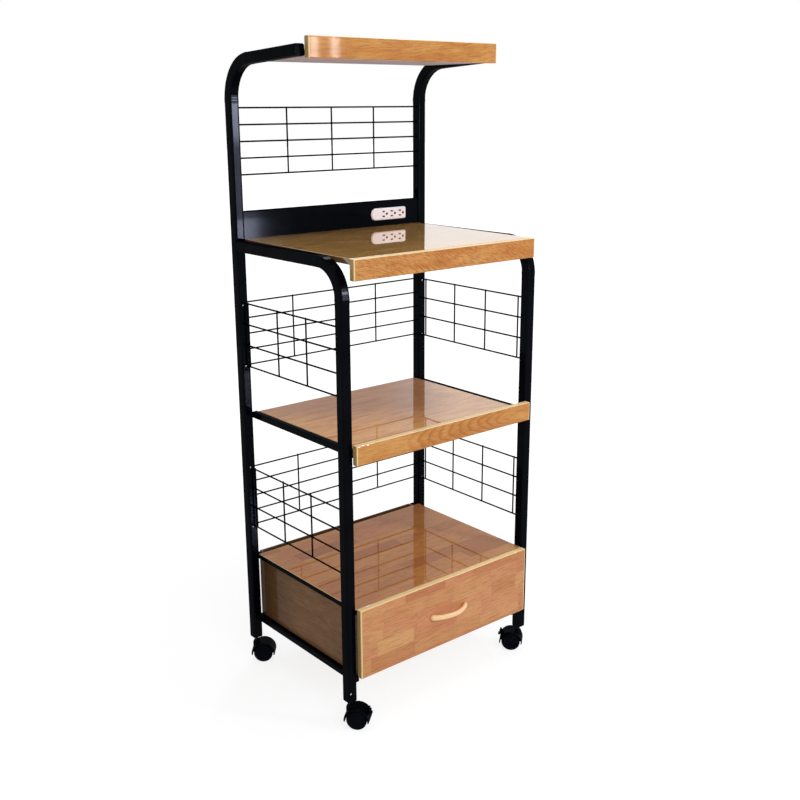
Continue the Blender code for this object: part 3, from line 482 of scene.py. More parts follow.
def staveColor(g, along, across, look):
    # Each block's tint, then its wandering grain, its flecks and the fine seams between the blocks;
    # the tint and the second draw give each block its own shift and depth in the noise
    tint, second, seam = stavePattern(g, along, across, look)
    bend = grainNoise(g, along, across, second, look["bendGrain"], tint * 40.0, 2)
    across = across + (bend - 0.5) * look["bend"]
    drift = grainNoise(g, along, across, second, look["driftGrain"], tint * 40.0, 3, 0.6)
    fibre = grainNoise(g, along, across, second, look["fibreGrain"], tint * 60.0, 3, 0.6)
    fleck = grainNoise(g, along, across, tint, look["fleckGrain"], second * 30.0, 1)
    cloud = grainNoise(g, along, across, tint, look["cloudGrain"], 0.0, 2)
    tintShare, cloudShare = look["tintShare"]
    pinkness = g.smooth(tint * tintShare + cloud * cloudShare, *look["pinkOver"])
    ground = g.mix(pinkness, look["yellow"], look["pink"])
    deepness = g.smooth(second, *look["deepOver"]) * look["deepShare"]
    shaded = g.mix(deepness, ground, look["deep"])
    fibreShare, driftShare = look["lineShare"]
    lines = g.smooth(fibre * fibreShare + drift * driftShare, *look["grainOver"])
    grained = g.mix(lines * look["grainShare"], shaded, look["grain"])
    flecks = g.smooth(fleck, *look["fleckOver"]) * look["fleckShare"]
    flecked = g.mix(flecks, grained, look["fleck"])
    return g.mix(seam * look["seamShare"], flecked, look["fleck"]), fibre


def staveFront(name, node):
    g = Graph(name)
    x, y, z = g.split("Object")
    aside, up = staveLook["place"]
    color, fibre = staveColor(g, x + aside, z + up, staveLook)
    return woodFinish(g, edgeBand(g, node, color, staveLook, frontLook), fibre, frontLook)


# Laminated boards: the colours of their print

mainLook = {**oakLook, "light": paint(252, 200, 122), "body": paint(238, 182, 104),
            "late": paint(150, 96, 44), "pore": paint(128, 82, 38), "ringPitch": 0.012,
            "pithDepth": 0.06, "slope": 0.10, "warp": 0.090, "slant": 0.03, "streakAlong": 9,
            "streakAcross": 140, "streakShare": 0.62, "ringShare": 0.36}
midLook = {**oakLook, "light": paint(242, 186, 124), "body": paint(226, 168, 106),
           "late": paint(200, 136, 82), "pore": paint(166, 110, 66), "ringPitch": 0.0115,
           "pithDepth": 0.05, "slope": 0.07, "warp": 0.090, "slant": 0.03, "streakAlong": 14,
           # The last keys are a painted shade: its colour, where it comes in toward the back and
           # goes toward the right, and its share
           "streakAcross": 90, "streakShare": 0.7, "dull": paint(150, 105, 94),
           "fade": (-0.17, 0.04), "side": (0.06, 0.20), "fadeShare": 0.6}
shelfLook = {**midLook, "light": paint(206, 166, 132), "body": paint(196, 152, 116),
             "late": paint(180, 134, 98), "pore": paint(156, 110, 78)}
sideLook = {**oakLook, "light": paint(140, 102, 68), "body": paint(124, 88, 58),
            "late": paint(102, 71, 45), "pore": paint(78, 54, 34), "ringPitch": 0.0095,
            "pithDepth": 0.05, "slope": 0.06, "warp": 0.066, "slant": 0.02, "streakAcross": 180,
            # The last keys are a painted shade toward the back end: where it comes in and its share
            "fade": (0.02, 0.19), "fadeShare": 0.8}
topLook = {**staveLook, "yellow": paint(204, 143, 80), "pink": paint(192, 126, 76),
           "deep": paint(158, 98, 55), "grain": paint(146, 88, 47), "fleck": paint(118, 70, 36),
           "rowHeight": 0.044, "staveLength": 0.16}

viewTurn = {"cos": 0.77, "sin": 0.64}  # the photograph's viewing direction, seen from above


def towardRight(x, y):
    return x * viewTurn["cos"] - y * viewTurn["sin"]


def towardBack(x, y):
    return x * viewTurn["sin"] + y * viewTurn["cos"]


def mainColor(g, x, y, z):
    return oakColor(g, x, y, z, mainLook, 3.0)


def midColor(g, x, y, z):
    # Oak with a painted shade: a dull lilac tone mixed in toward the board's back and left, where
    # the main shelf above shades it; the front corner stays light
    color, fibre = oakColor(g, x, y, z, midLook, 8.0)
    back = g.smooth(towardBack(x, y), *midLook["fade"])
    left = 1 - g.smooth(towardRight(x, y), *midLook["side"])
    return g.mix(back * left * midLook["fadeShare"], color, midLook["dull"]), fibre


def shelfColor(g, x, y, z):
    return oakColor(g, x, y, z, shelfLook, 5.0)


def cabinetColor(g, x, y, z):
    return staveColor(g, x, y, topLook)


def sideColor(g, x, y, z):
    # Oak with a painted shade: it darkens toward the panel's back end, where the back post shades
    # it
    color, fibre = oakColor(g, y, z, x, sideLook, 1.0)
    # Painted shade: the pore colour mixed in toward the back
    shadeAmount = g.smooth(y, *sideLook["fade"]) * sideLook["fadeShare"]
    return g.mix(shadeAmount, color, sideLook["pore"]), fibre


# The clear gloss over the print; its weight changes from its first number to its second, toward the
# right, between the two places in over

plainGloss = {"weight": (0.5, 0.6), "over": (-0.3, 0.3), "ior": 1.5, "specular": 0.0,
              "coatRoughness": 0.016, "roughness": (0.34, 0.46), "upright": False,
              "underside": None, "faceOver": (0.45, 0.65), "belowOver": (-0.6, -0.4)}
mainGloss = {**plainGloss, "weight": (1.0, 0.88), "over": (-0.1, 0.2), "ior": 1.84,
             "specular": 0.12, "coatRoughness": 0.010, "roughness": (0.02, 0.05),
             "edge": paint(120, 86, 52)}
midGloss = {**plainGloss, "weight": (0.36, 1.0), "over": (-0.06, 0.20), "ior": 1.88,
            "coatRoughness": 0.010, "edge": paint(226, 200, 168)}
topGloss = {**plainGloss, "weight": (0.04, 0.06), "coatRoughness": 0.3,
            "edge": paint(236, 226, 214), "underside": paint(196, 180, 182)}
cabinetGloss = {**plainGloss, "edge": paint(214, 180, 130)}
sideGloss = {**plainGloss, "weight": (0.2, 0.3), "coatRoughness": 0.05, "upright": True,
             "edge": paint(96, 68, 44)}


def glossBoard(name, colorOf, gloss):
    # A clear gloss over the print on the board's faces, and a plain strip round its edges
    g = Graph(name)
    x, y, z = g.split("Object")
    faceX, faceY, faceZ = g.split("Normal")
    color, fibre = colorOf(g, x, y, z)
    if gloss["underside"]:
        color = g.mix(g.smooth(faceZ, *gloss["belowOver"]), gloss["underside"], color)
    flat = g.smooth(abs(faceX) if gloss["upright"] else abs(faceZ), *gloss["faceOver"])
    return g.finish(Base_Color=g.mix(flat, gloss["edge"], color),
                    Roughness=g.smooth(fibre, *fibreOver, *gloss["roughness"]),
                    Specular_IOR_Level=gloss["specular"], Coat_IOR=gloss["ior"],
                    Coat_Roughness=gloss["coatRoughness"],
                    Coat_Weight=g.smooth(towardRight(x, y), *gloss["over"], *gloss["weight"]))


# Plastics, steel and the woods of the handle and the drawer box

plasticLook = {"cloudScale": 26, "grainScale": 1100, "grainDepth": 0.00002, "roughness": 0.5,
               "glossSpread": 0.2}


def plainPlastic(name, color, other, coatRoughness, gloss):
    # Clouded colour with a fine mould grain under a thin gloss
    g = Graph(name)
    look = plasticLook
    point = g.vector(*g.split("Object"))
    cloud = g.noise(point, look["cloudScale"])
    gloss = around(gloss, look["glossSpread"])
    return g.finish(Base_Color=g.mix(cloud, color, other), Roughness=look["roughness"],
                    Specular_IOR_Level=0.0, Coat_Roughness=coatRoughness,
                    Coat_Weight=g.smooth(cloud, *cloudOver, *gloss),
                    Normal=g.bump(g.noise(point, look["grainScale"]), look["grainDepth"]))


outletLook = {
    "ivory": paint(255, 245, 242), "shade": paint(250, 236, 234), "rim": paint(255, 253, 250),
    "dark": paint(34, 22, 20), "rimOver": (0.0118, 0.0132), "count": 3, "pitch": 0.0278,
    # The dark colour is painted shade for the slots' and ground holes' recesses
    "first": 0.0402, "spread": 0.0063, "slotLength": 0.0080, "slotWidth": 0.0040,
    "groundOffset": 0.0108, "groundRadius": 0.0034, "slotBlur": (0.0004, 0.0004),
    "groundBlur": (0.0003, 0.0004), "backDepth": (0.0015, 0.0030), "cloudScale": 60,
    "specular": 0.5, "roughness": (0.3, 0.42), "grainDepth": 0.00002,
}


def outletPlastic(name):
    # Ivory moulding with a brighter rim; each outlet's two slots and ground hole are painted dark,
    # a painted shade for their recesses that reaches a little past them
    g = Graph(name)
    look = outletLook
    low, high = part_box("outlet_strip")
    x, y, z = g.split("Object")
    level = z - (low.z + high.z) / 2
    cloud = g.noise(g.vector(x, y, z), look["cloudScale"])
    ivory = g.mix(cloud, look["ivory"], look["shade"])
    faced = g.mix(g.smooth(abs(level), *look["rimOver"]), ivory, look["rim"])
    along = x - (low.x + look["first"])
    nearest = (along / look["pitch"] + 0.5).math("FLOOR")
    nearest = nearest.math("MINIMUM", look["count"] - 1.0).math("MAXIMUM", 0.0)
    across = along - nearest * look["pitch"]

    def within(distance, size, blur):
        return g.smooth(distance, size + blur[0], size - blur[1])

    def groundHole(aside):
        far = (aside * aside + level * level) ** 0.5
        return within(far, look["groundRadius"], look["groundBlur"])

    wide = within(abs(across), look["slotLength"] / 2, look["slotBlur"])
    tall = within(abs(abs(level) - look["spread"]), look["slotWidth"] / 2, look["slotBlur"])
    aside = across - look["groundOffset"]
    before = groundHole(aside + look["pitch"]) * g.smooth(nearest, 0.4, 0.6)
    # Painted shade: the slots and ground holes are darkened a little wider than their recesses, on
    # the front only
    dark = (wide * tall).math("MAXIMUM", groundHole(aside).math("MAXIMUM", before))
    dark = dark * g.smooth(y, *(high.y - depth for depth in look["backDepth"]))
    return g.finish(Base_Color=g.mix(dark, faced, look["dark"]),
                    Roughness=g.smooth(cloud, *cloudOver, *look["roughness"]),
                    Specular_IOR_Level=look["specular"], Normal=g.bump(cloud, look["grainDepth"]))


steelLook = {"grain": (500, 500, 90), "brighter": 1.5, "roughness": (0.2, 0.38)}


def platedSteel(name, color):
    # Steel with a fine brushed grain
    g = Graph(name)
    point = [value * scale for value, scale in zip(g.split("Object"), steelLook["grain"])]
    brushed = g.noise(g.vector(*point))
    bright = [channel * steelLook["brighter"] for channel in color[:3]] + [1.0]
    return g.finish(Base_Color=g.mix(brushed, color, bright), Metallic=1.0,
                    Roughness=g.smooth(brushed, *cloudOver, *steelLook["roughness"]))


mapleLook = {**oakLook, "light": paint(253, 214, 160), "body": paint(248, 202, 146),
             "late": paint(236, 180, 120), "pore": paint(220, 160, 102), "ringPitch": 0.005,
             "poreShare": 0.2, "slant": 0.0, "specular": 0.5, "gloss": 0.5,
             "coatRoughness": 0.08, "roughness": (0.34, 0.46), "grainDepth": 0.00002}
boxLook = {**oakLook, "light": paint(222, 196, 152), "body": paint(212, 182, 136),
           "late": paint(196, 160, 112), "pore": paint(176, 138, 92), "slant": 0.02,
           "specular": 0.5, "gloss": 0.0, "coatRoughness": 0.03, "roughness": (0.5, 0.62),
           "grainDepth": 0.00003}


def plainWood(name, order, look, shift):
    # Oak's grain, with the axes in the order along, across and through the board
    g = Graph(name)
    axes = g.split("Object")
    return woodFinish(g, *oakColor(g, *(axes[i] for i in order), look, shift), look)


finishes = {
    "tube": powderCoat("darkTubeCoat", coatLook["tubeRoughness"]),
    "wire": powderCoat("darkWireCoat", coatLook["wireRoughness"]),
    "main": glossBoard("brownGlossBoard", mainColor, mainGloss),
    "mid": glossBoard("goldenGlossBoard", midColor, midGloss),
    "top": glossBoard("topShelfBoard", shelfColor, topGloss),
    "cabinet": glossBoard("staveGlossBoard", cabinetColor, cabinetGloss),
    "side": glossBoard("sidePanelGloss", sideColor, sideGloss),
    "front": staveFront("drawerStaves", "drawer_front"),
    "ivory": outletPlastic("ivoryOutletPlastic"),
    "nylon": plainPlastic("hoodNylon", paint(3, 5, 9), paint(6, 8, 14), 0.20, 0.06),
    "tread": plainPlastic("wheelNylon", paint(4, 6, 10), paint(8, 10, 16), 0.30, 0.05),
    "slide": plainPlastic("slideEpoxy", paint(226, 222, 208), paint(214, 208, 190), 0.30, 0.6),
    "screw": platedSteel("screwSteel", paint(168, 170, 178)),
    "stem": platedSteel("stemSteel", paint(38, 39, 46)),
    "maple": plainWood("handleMaple", (0, 2, 1), mapleLook, 2.0),
    "box": plainWood("drawerBoxBoard", (1, 2, 0), boxLook, 4.0),
}
print("stage: finishes made,", len(finishes))


# Frame

tubeLook = {
    "corner": 0.0042, "cornerSteps": 6, "bendSteps": 60, "nearSteps": 14, "nearReach": (3, 0.25),
    "crease": 0.00042, "creaseLength": 0.0055, "armSlope": 3.0, "backBend": 0.090,
    "frontBend": 0.076, "rightArmCut": 0.009, "capEdge": 0.0006, "railRadius": 0.0018,
    "railTrims": {"mid_rail": (0.0, 0.018), "cabinet_top_rail": (0.0, 0.0),
                  "cabinet_bottom_rail": (0.012, 0.0)},
}


def bentTube(name, node, forward, radius, slope, cut=0.0):
    # Square tube: up the post, round the bend and on up its slope; the section is carried along
    # that path and swells slightly where the bend starts and ends, as a tube bent on a former does
    low, high = (np.array(corner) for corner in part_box(node))
    size = high[0] - low[0]
    slope = math.radians(slope)
    way = -1.0 if forward else 1.0
    standY = high[1] - size / 2 if forward else low[1] + size / 2
    endY = (low[1] if forward else high[1]) - way * (size / 2 * math.sin(slope) + cut)
    endZ = high[2] - size / 2 * math.cos(slope) - cut * math.tan(slope)
    run = (abs(endY - standY) - radius * (1 - math.sin(slope))) / math.cos(slope)
    startZ = endZ - radius * math.cos(slope) - run * math.sin(slope)
    turn = np.linspace(0, np.pi / 2 - slope, tubeLook["bendSteps"] + 1)
    bendY = standY + way * radius * (1 - np.cos(turn))
    bendZ = startZ + radius * np.sin(turn)
    count = tubeLook["nearSteps"]
    near = np.linspace(*tubeLook["nearReach"], count) * tubeLook["creaseLength"]
    leaveY = bendY[-1] + way * math.cos(slope) * near[::-1]
    leaveZ = bendZ[-1] + math.sin(slope) * near[::-1]
    pathY = np.concatenate([[standY], np.full(count, standY), bendY, leaveY, [endY]])
    pathZ = np.concatenate([[low[2]], startZ - near, bendZ, leaveZ, [endZ]])
    angle = np.concatenate([np.zeros(count + 1), turn, np.full(count + 1, turn[-1])])
    arcLength = np.concatenate([[0], np.cumsum(np.hypot(np.diff(pathY), np.diff(pathZ)))])
    bends = (arcLength[count + 1], arcLength[count + 1 + tubeLook["bendSteps"]])
    swell = sum(np.exp(-((arcLength - place) / tubeLook["creaseLength"]) ** 2) for place in bends)
    centers = np.stack([np.full(len(pathY), (low[0] + high[0]) / 2), pathY, pathZ], axis=-1)
    sideways = np.tile([1.0, 0.0, 0.0], (len(pathY), 1))
    tangents = np.stack([np.zeros(len(pathY)), way * np.sin(angle), np.cos(angle)], axis=-1)
    section = outline(size / 2, size / 2, tubeLook["corner"], tubeLook["cornerSteps"])
    grid = carried(section, centers, sideways, tangents)
    grid += (grid - centers[:, None, :]) * (swell * tubeLook["crease"] / (size / 2))[:, None, None]
    return addPiece(name, buildMesh(name, [grid]), finishes["tube"], "frame", [node], 40)


def makeFrame():
    slope = tubeLook["armSlope"]
    for side in ("left", "right"):
        cut = tubeLook["rightArmCut"] if side == "right" else 0.0
        bentTube(f"{side}BackPost", f"{side}_back_post", True, tubeLook["backBend"], slope, cut)
        bentTube(f"{side}FrontPost", f"{side}_front_post", False, tubeLook["frontBend"], 0.0)
        cap = dressed(f"{side}TopCap", f"{side}_top_cap", finishes["nylon"], "frame",
                      tubeLook["capEdge"])
        drop = cut * math.tan(math.radians(slope))
        cap.data.transform(Matrix.Translation((0.0, cut, -drop)))
        for kind, trim in tubeLook["railTrims"].items():
            node = f"{side}_{kind}"
            boxPiece(toCamel(node), node, tubeLook["railRadius"], finishes["tube"], "frame",
                     1, trim)


makeFrame()
print("stage: frame tubes made")


# Shelves and cabinet

boardLook = {"radius": 0.0007, "rise": {"main_shelf_board": 0.0034}}  # higher at its back edge
fasciaOaks = {"top": (topOak, 124.0), "main": (mainOak, 154.7), "mid": (midOak, 115.4)}
boards = (("main_shelf_board", "main", "main_board"), ("mid_shelf_board", "mid", "beige_board"),
          ("top_shelf_board", "top", "beige_board"),
          ("cabinet_top_board", "cabinet", "stave_board"),
          ("left_side_panel", "side", "side_panel"), ("right_side_panel", "side", "side_panel"),
          ("cabinet_back_panel", "side", "side_panel"))


def makeBoards():
    for word, (look, shift) in fasciaOaks.items():
        node = f"{word}_shelf_fascia"
        material = oakFascia(f"{word}FasciaOak", node, look, shift)
        boxPiece(toCamel(node), node, fasciaLook["radius"], material, "frame")
    for node, finish, slot in boards:
        boxPiece(toCamel(node), node, boardLook["radius"], finishes[finish], "frame",
                 rise=boardLook["rise"].get(node, 0.0))


makeBoards()
print("stage: boards made")


# Outlet panel and strip

setMaterial("outlet_panel", finishes["tube"])
dressed("outletStrip", "outlet_strip", finishes["ivory"], "frame")
print("stage: outlet panel made")


# Wire grids and their screws

gridLook = {"sides": 12, "backRows": 5, "sideRows": 4, "backGap": 0.134, "inner": 0.0585,
            "outer": 0.1755, "leftBack": 0.1855, "overlapShare": 0.25, "fullness": 1.15}


def wireGrid(name, node, rows, columns, axis):
    # Level wires from post to post, upright wires laid against them
    low, high = (np.array(corner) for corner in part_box(node))
    other = 1 - axis
    radius = (high[other] - low[other]) / (2 - gridLook["overlapShare"]) / 2
    middle = (low + high) / 2
    shells = []
    thick = radius * gridLook["fullness"]
    for height in np.linspace(low[2] + radius, high[2] - radius, rows):
        start, end = low.copy(), high.copy()
        start[other] = end[other] = low[other] + radius
        start[2] = end[2] = height
        shells.append(rod(start, end, thick, gridLook["sides"]))
    for place in columns:
        start, end = low.copy(), high.copy()
        start[axis] = end[axis] = middle[axis] + place
        start[other] = end[other] = high[other] - radius
        shells.append(rod(start, end, thick, gridLook["sides"]))
    return addPiece(name, buildMesh(name, shells), finishes["wire"], "frame", [node], 60)


def makeGrids():
    gap, inner, outer = gridLook["backGap"], gridLook["inner"], gridLook["outer"]
    for kind in ("upper", "mid", "low"):
        node = f"{kind}_back_grid"
        wireGrid(toCamel(node), node, gridLook["backRows"], (-gap, 0.0, gap), 0)
    for side, last in (("left", gridLook["leftBack"]), ("right", outer)):
        for kind in ("mid", "low"):
            node = f"{side}_{kind}_grid"
            wireGrid(toCamel(node), node, gridLook["sideRows"], (-outer, -inner, inner, last), 1)


screwLook = {"radius": 0.0022, "height": 0.0012, "sides": 16, "steps": 7, "rimShare": 0.96,
             "rimDepth": 0.0002, "from": 0.02, "short": 0.05,
             "aside": {"left": -0.0022, "right": 0.0}, "levels": (0.9650, 0.8127, 0.5479, 0.3860),
             "foot": 0.0916, "footAside": -0.0065}


def screwHead(center):
    # Low dome: radius times cos(t) at height times sin(t), on a short straight rim
    turns = np.linspace(screwLook["from"], np.pi / 2 - screwLook["short"], screwLook["steps"])
    radius, height = screwLook["radius"], screwLook["height"]
    profile = [(radius * screwLook["rimShare"], -screwLook["rimDepth"])]
    profile += [(radius * math.cos(t), height * math.sin(t)) for t in turns]
    return lathe(profile, center, (0, -1, 0), screwLook["sides"])


def addScrews(name, centers):
    mesh = buildMesh(name, [screwHead(center) for center in centers])
    addPiece(name, mesh, finishes["screw"], "frame")


def makeScrews():
    # Screws on the posts' front faces: four on each back post hold the grids, and one on the left
    # front post holds its caster's socket
    for side in ("left", "right"):
        low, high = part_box(f"{side}_back_post")
        place = (low.x + high.x) / 2 + screwLook["aside"][side]
        face = high.y - (high.x - low.x)
        addScrews(f"{side}GridScrews", [(place, face, level) for level in screwLook["levels"]])
    low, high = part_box("left_front_post")
    place = (low.x + high.x) / 2 + screwLook["footAside"]
    addScrews("footScrew", [(place, low.y, screwLook["foot"])])


makeGrids()
makeScrews()
print("stage: wire grids made")


# Drawer

handleLook = {"thickness": 0.0088, "height": 0.0128, "steps": 72, "sides": 28, "fullness": 2.3,
              "foot": 0.22, "footPower": 3, "ending": 0.0085, "endShare": 0.3}


def makeHandle():
    # Bow handle: a full oval, |a|^n + |b|^n = 1, carried along an arc through the two feet and the
    # crown; it thickens toward the feet, which round off like a quarter ellipse and lie flat on the
    # drawer front
    look = handleLook
    low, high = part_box("drawer_handle")
    half = (high.x - low.x) / 2
    rise = high.y - low.y
    outer = (half ** 2 + rise ** 2) / (2 * rise)
    radius = outer - look["thickness"] / 2
    centerY = low.y + outer
    reach = math.acos((centerY - high.y) / radius)
    turn = np.linspace(-reach, reach, look["steps"] + 1)
    path = np.stack([radius * np.sin(turn) + (low.x + high.x) / 2, centerY - radius * np.cos(turn),
                     np.full(len(turn), (low.z + high.z) / 2)], axis=-1)
    tangents = np.stack([np.cos(turn), np.sin(turn), np.zeros(len(turn))], axis=-1)
    sideways = np.tile([0.0, 0.0, 1.0], (len(turn), 1))
    angles = np.arange(look["sides"]) * 2 * np.pi / look["sides"]
    circle = np.stack([np.cos(angles), np.sin(angles)], axis=-1)
    oval = np.sign(circle) * np.abs(circle) ** (2 / look["fullness"])
    oval = oval * (look["height"] / 2, look["thickness"] / 2)
    grid = carried(oval, path, sideways, tangents)
    swell = 1 + look["foot"] * (np.abs(turn) / reach) ** look["footPower"]
    ending = np.clip((reach - np.abs(turn)) * radius / look["ending"], 0, 1)
    swell = swell * np.maximum(np.sqrt(1 - (1 - ending) ** 2), look["endShare"])
    grid = path[:, None, :] + (grid - path[:, None, :]) * swell[:, None, None]
    grid[:, :, 0] = np.clip(grid[:, :, 0], low.x, high.x)
    grid[:, :, 1] = np.clip(grid[:, :, 1], low.y, high.y)
    mesh = buildMesh("drawerHandle", [grid])
    addPiece("drawerHandle", mesh, finishes["maple"], "drawer", ["drawer_handle"], 50)


def makeDrawer():
    boxPiece("drawerFront", "drawer_front", frontLook["radius"], finishes["front"], "drawer")
    for node in ("drawer_left_side", "drawer_right_side", "drawer_back", "drawer_bottom"):
        setMaterial(node, finishes["box"])
    for side in ("left", "right"):
        setMaterial(f"{side}_slide_channel", finishes["slide"])
        setMaterial(f"{side}_slide_runner", finishes["slide"])
    makeHandle()


makeDrawer()
print("stage: drawer made")


# Casters

casterLook = {"hoodEdge": 0.0005, "partEdge": 0.0004}
wheelLook = {
    "width": 0.0155, "gap": 0.0093, "axle": 0.0040, "shoulder": 0.004, "innerEase": 0.0015,
    "easeSteps": 6, "count": 56,
    # The rings of the outer face: the radius of each and how deep it is sunk
    "disc": ((0.0178, 0.0), (0.0172, 0.0008), (0.0150, 0.0026), (0.0085, 0.0030),
             (0.0072, 0.0024), (0.0060, 0.0010), (0.0030, 0.0006), (0.0002, 0.0006)),
}


def makeWheels(corner):
    # Both wheels and the axle between them: one profile turned about the axle, with its rims eased
    # by quarter circles
    look = wheelLook
    joint = joints[f"{corner}_roll"]
    radius = joint["pos_m"][2]
    near = look["gap"] / 2
    far = near + look["width"]
    outer, inner = look["shoulder"], look["innerEase"]
    turns = np.linspace(0, np.pi / 2, look["easeSteps"])
    half = [(look["axle"], near)]
    half += [(radius - inner * (1 - math.sin(t)), near + inner * (1 - math.cos(t))) for t in turns]
    half += [(radius - outer * (1 - math.cos(t)), far - outer * (1 - math.sin(t))) for t in turns]
    half += [(ring, far - depth) for ring, depth in look["disc"]]
    profile = [(reach, -height) for reach, height in reversed(half)] + half
    node = f"{corner}_wheels"
    name = toCamel(node)
    mesh = buildMesh(name, [lathe(profile, joint["pos_m"], joint["axis"], look["count"])])
    addPiece(name, mesh, finishes["tread"], f"{corner}_wheel_pair", [node], 40)


def makeCasters():
    nylon, edge = finishes["nylon"], casterLook["partEdge"]
    for corner in ("front_left", "front_right", "back_left", "back_right"):
        word = toCamel(corner)
        dressed(f"{word}Hood", f"{corner}_caster_hood", nylon, f"{corner}_caster",
                casterLook["hoodEdge"])
        dressed(f"{word}Socket", f"{corner}_caster_socket", nylon, "frame", edge)
        setMaterial(f"{corner}_caster_stem", finishes["stem"])
        makeWheels(corner)
        if corner.startswith("front"):
            dressed(f"{word}Lever", f"{corner}_brake_lever", nylon, f"{corner}_brake",
                    edge)


makeCasters()
print("stage: casters made")


# Camera

cameraLook = {"location": (-1.6004, -1.9669, 1.4322), "yaw": 39.83, "pitch": -15.80, "roll": -0.28,
              "lens": 46.93, "sensor": 36.0, "nearClip": 0.05}


def makeCamera():
    camera = bpy.data.cameras.new("camera")
    camera.lens = cameraLook["lens"]
    camera.sensor_width = cameraLook["sensor"]
    camera.clip_start = cameraLook["nearClip"]
    holder = bpy.data.objects.new("camera", camera)
    bpy.context.scene.collection.objects.link(holder)
    turn = (Matrix.Rotation(-math.radians(cameraLook["yaw"]), 4, "Z")
            @ Matrix.Rotation(math.radians(90 + cameraLook["pitch"]), 4, "X")
            @ Matrix.Rotation(math.radians(cameraLook["roll"]), 4, "Z"))
    holder.matrix_world = Matrix.Translation(cameraLook["location"]) @ turn
    bpy.context.scene.camera = holder


# Lamps: place, target, size, energy, colour and whether reflections show the lamp

white = (1.0, 1.0, 1.0)
sheen = ((-0.22, -0.25, 1.54), (0.035, 0.4), 1.5, (1.0, 0.9, 0.9), True)
lampLook = {
    "keyLamp": ((-1.0, -3.2, 2.6), (0, 0, 0.8), (2.4, 2.2), 43.0, white, False),
    "topLamp": ((0.2, -0.6, 4.0), (0, 0, 0.5), (2.5, 2.5), 26.0, white, False),
    "stripLamp": ((1.25, -2.3, 1.40), (-0.28, 0.2, 1.38), (0.13, 0.28), 15.0, (0.70, 0.74, 1.0),
                  True),
    "lowStripLamp": ((1.25, -2.3, 1.0), (-0.28, 0.2, 1.2), (0.13, 0.46), 5.0, (0.66, 0.70, 1.0),
                     True),
    "rimLamp": ((1.5, 1.6, 2.6), (-0.28, -0.1, 1.1), (0.4, 0.9), 16.0, (0.86, 0.90, 1.0), True),
    "leftSheen": ((1.313, -2.3, 1.72), *sheen),
    "rightSheen": ((1.43, -2.3, 1.72), *sheen),
}


def makeLamp(name, place, target, size, energy, color, mirrored):
    lamp = bpy.data.lights.new(name, "AREA")
    lamp.shape = "RECTANGLE"
    lamp.size, lamp.size_y = size
    lamp.energy = energy
    lamp.color = color
    holder = bpy.data.objects.new(name, lamp)
    bpy.context.scene.collection.objects.link(holder)
    holder.location = place
    holder.visible_glossy = mirrored
    holder.rotation_euler = (Vector(target) - Vector(place)).to_track_quat("-Z", "Y").to_euler()


# World, floor and flag

stageLook = {
    "worldLight": 0.42, "floorSize": 30.0, "floorLevel": -0.0005,
    "floorColor": (0.94, 0.94, 0.94, 1), "floorRoughness": 0.9, "floorGlow": 1.16,
    "litShare": 0.30, "litOver": (0.7, 1.8),
    "flagColor": (0.002, 0.002, 0.003, 1), "flagHeight": 0.024, "flagOverlap": 0.003,
    "flagInset": 0.004,
}


def makeWorld():
    # White to the camera and in reflections, softer as light on the cart
    world = bpy.data.worlds.new("studio")
    bpy.context.scene.world = world
    world.use_nodes = True
    nodes, links = world.node_tree.nodes, world.node_tree.links
    nodes.clear()

    def either(first, second):
        larger = nodes.new("ShaderNodeMath")
        larger.operation = "MAXIMUM"
        links.new(first, larger.inputs[0])
        links.new(second, larger.inputs[1])
        return larger.outputs[0]

    rays = nodes.new("ShaderNodeLightPath").outputs
    clear = either(rays["Is Camera Ray"], rays["Is Transmission Ray"])
    seen = nodes.new("ShaderNodeMix")
    seen.data_type = "FLOAT"
    seen.inputs[2].default_value = stageLook["worldLight"]
    seen.inputs[3].default_value = 1.0
    links.new(either(clear, rays["Is Glossy Ray"]), seen.inputs[0])
    light = nodes.new("ShaderNodeBackground")
    light.inputs["Color"].default_value = (1, 1, 1, 1)
    links.new(seen.outputs[0], light.inputs["Strength"])
    output = nodes.new("ShaderNodeOutputWorld")
    links.new(light.outputs[0], output.inputs[0])


def makeSheet(name, corners, material):
    mesh = bpy.data.meshes.new(name)
    mesh.from_pydata(corners, [], [(0, 1, 2, 3)])
    mesh.materials.append(material)
    sheet = bpy.data.objects.new(name, mesh)
    bpy.context.scene.collection.objects.link(sheet)
    return sheet


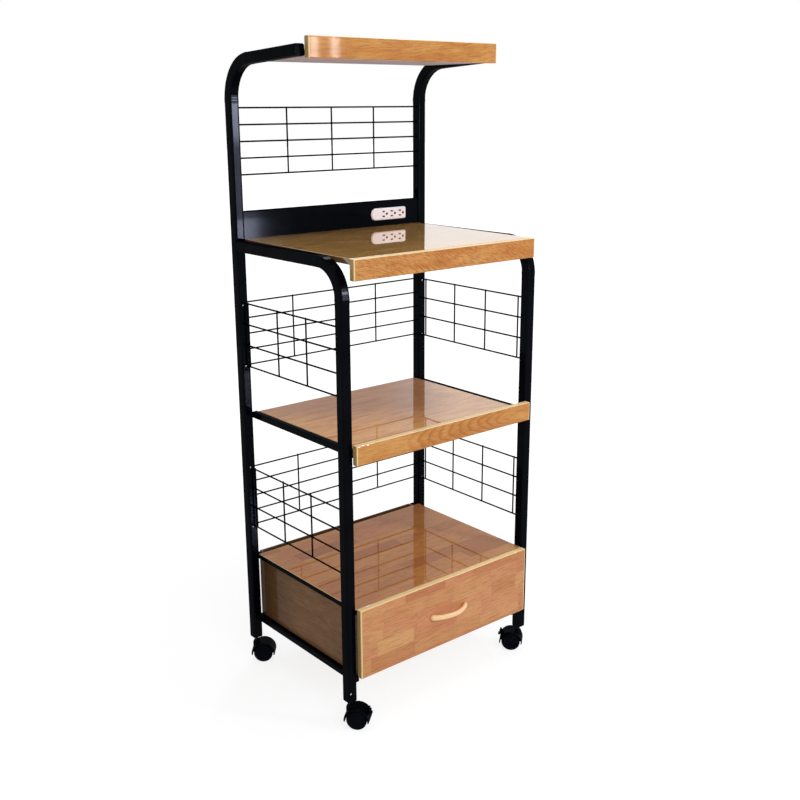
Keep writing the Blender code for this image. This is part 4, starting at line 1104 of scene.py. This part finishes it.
def makeFloor():
    # White floor that keeps the cart's faint shadow: near the cart a share of it is lit, and the
    # rest of it shines plain white where it is seen
    g = Graph("floorWhite")
    g.finish(Base_Color=stageLook["floorColor"], Roughness=stageLook["floorRoughness"],
             Specular_IOR_Level=0.0)
    glow = g.tree.nodes.new("ShaderNodeEmission")
    glow.inputs["Strength"].default_value = stageLook["floorGlow"]
    path = g.tree.nodes.new("ShaderNodeLightPath")
    camera, glossy = (Value(g, path.outputs[ray]) for ray in ("Is Camera Ray", "Is Glossy Ray"))
    x, y, z = g.split("Object")
    far = g.smooth((x * x + y * y) ** 0.5, *stageLook["litOver"])
    share = camera.math("MAXIMUM", glossy) * (1 - (1 - far) * stageLook["litShare"])
    mixer = g.tree.nodes.new("ShaderNodeMixShader")
    g.tree.links.new(share.socket, mixer.inputs[0])
    g.tree.links.new(g.shader.outputs[0], mixer.inputs[1])
    g.tree.links.new(glow.outputs[0], mixer.inputs[2])
    g.tree.links.new(mixer.outputs[0], g.tree.nodes["Material Output"].inputs[0])
    size, level = stageLook["floorSize"], stageLook["floorLevel"]
    signs = ((-1, -1), (1, -1), (1, 1), (-1, 1))
    corners = [(right * size, back * size, level) for right, back in signs]
    floor = makeSheet("floor", corners, g.material)


def makeFlag():
    # Narrow dark sheet behind the outlet panel's top edge, seen only in glossy reflections: a
    # painted dark reflection in the main board's gloss
    low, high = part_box("outlet_panel")
    back = high.y - stageLook["flagInset"]
    foot, head = high.z - stageLook["flagOverlap"], high.z + stageLook["flagHeight"]
    corners = [(low.x, back, foot), (high.x, back, foot), (high.x, back, head), (low.x, back, head)]
    g = Graph("flagBlack")
    g.finish(Base_Color=stageLook["flagColor"], Specular_IOR_Level=0.0)
    flag = makeSheet("flag", corners, g.material)
    flag.visible_camera = False
    flag.visible_diffuse = False
    flag.visible_shadow = False
    flag.visible_transmission = False


makeCamera()
for name, lamp in lampLook.items():
    makeLamp(name, *lamp)
makeWorld()
makeFloor()
makeFlag()
bpy.context.scene.view_settings.view_transform = "Standard"
print("stage: light and camera made")
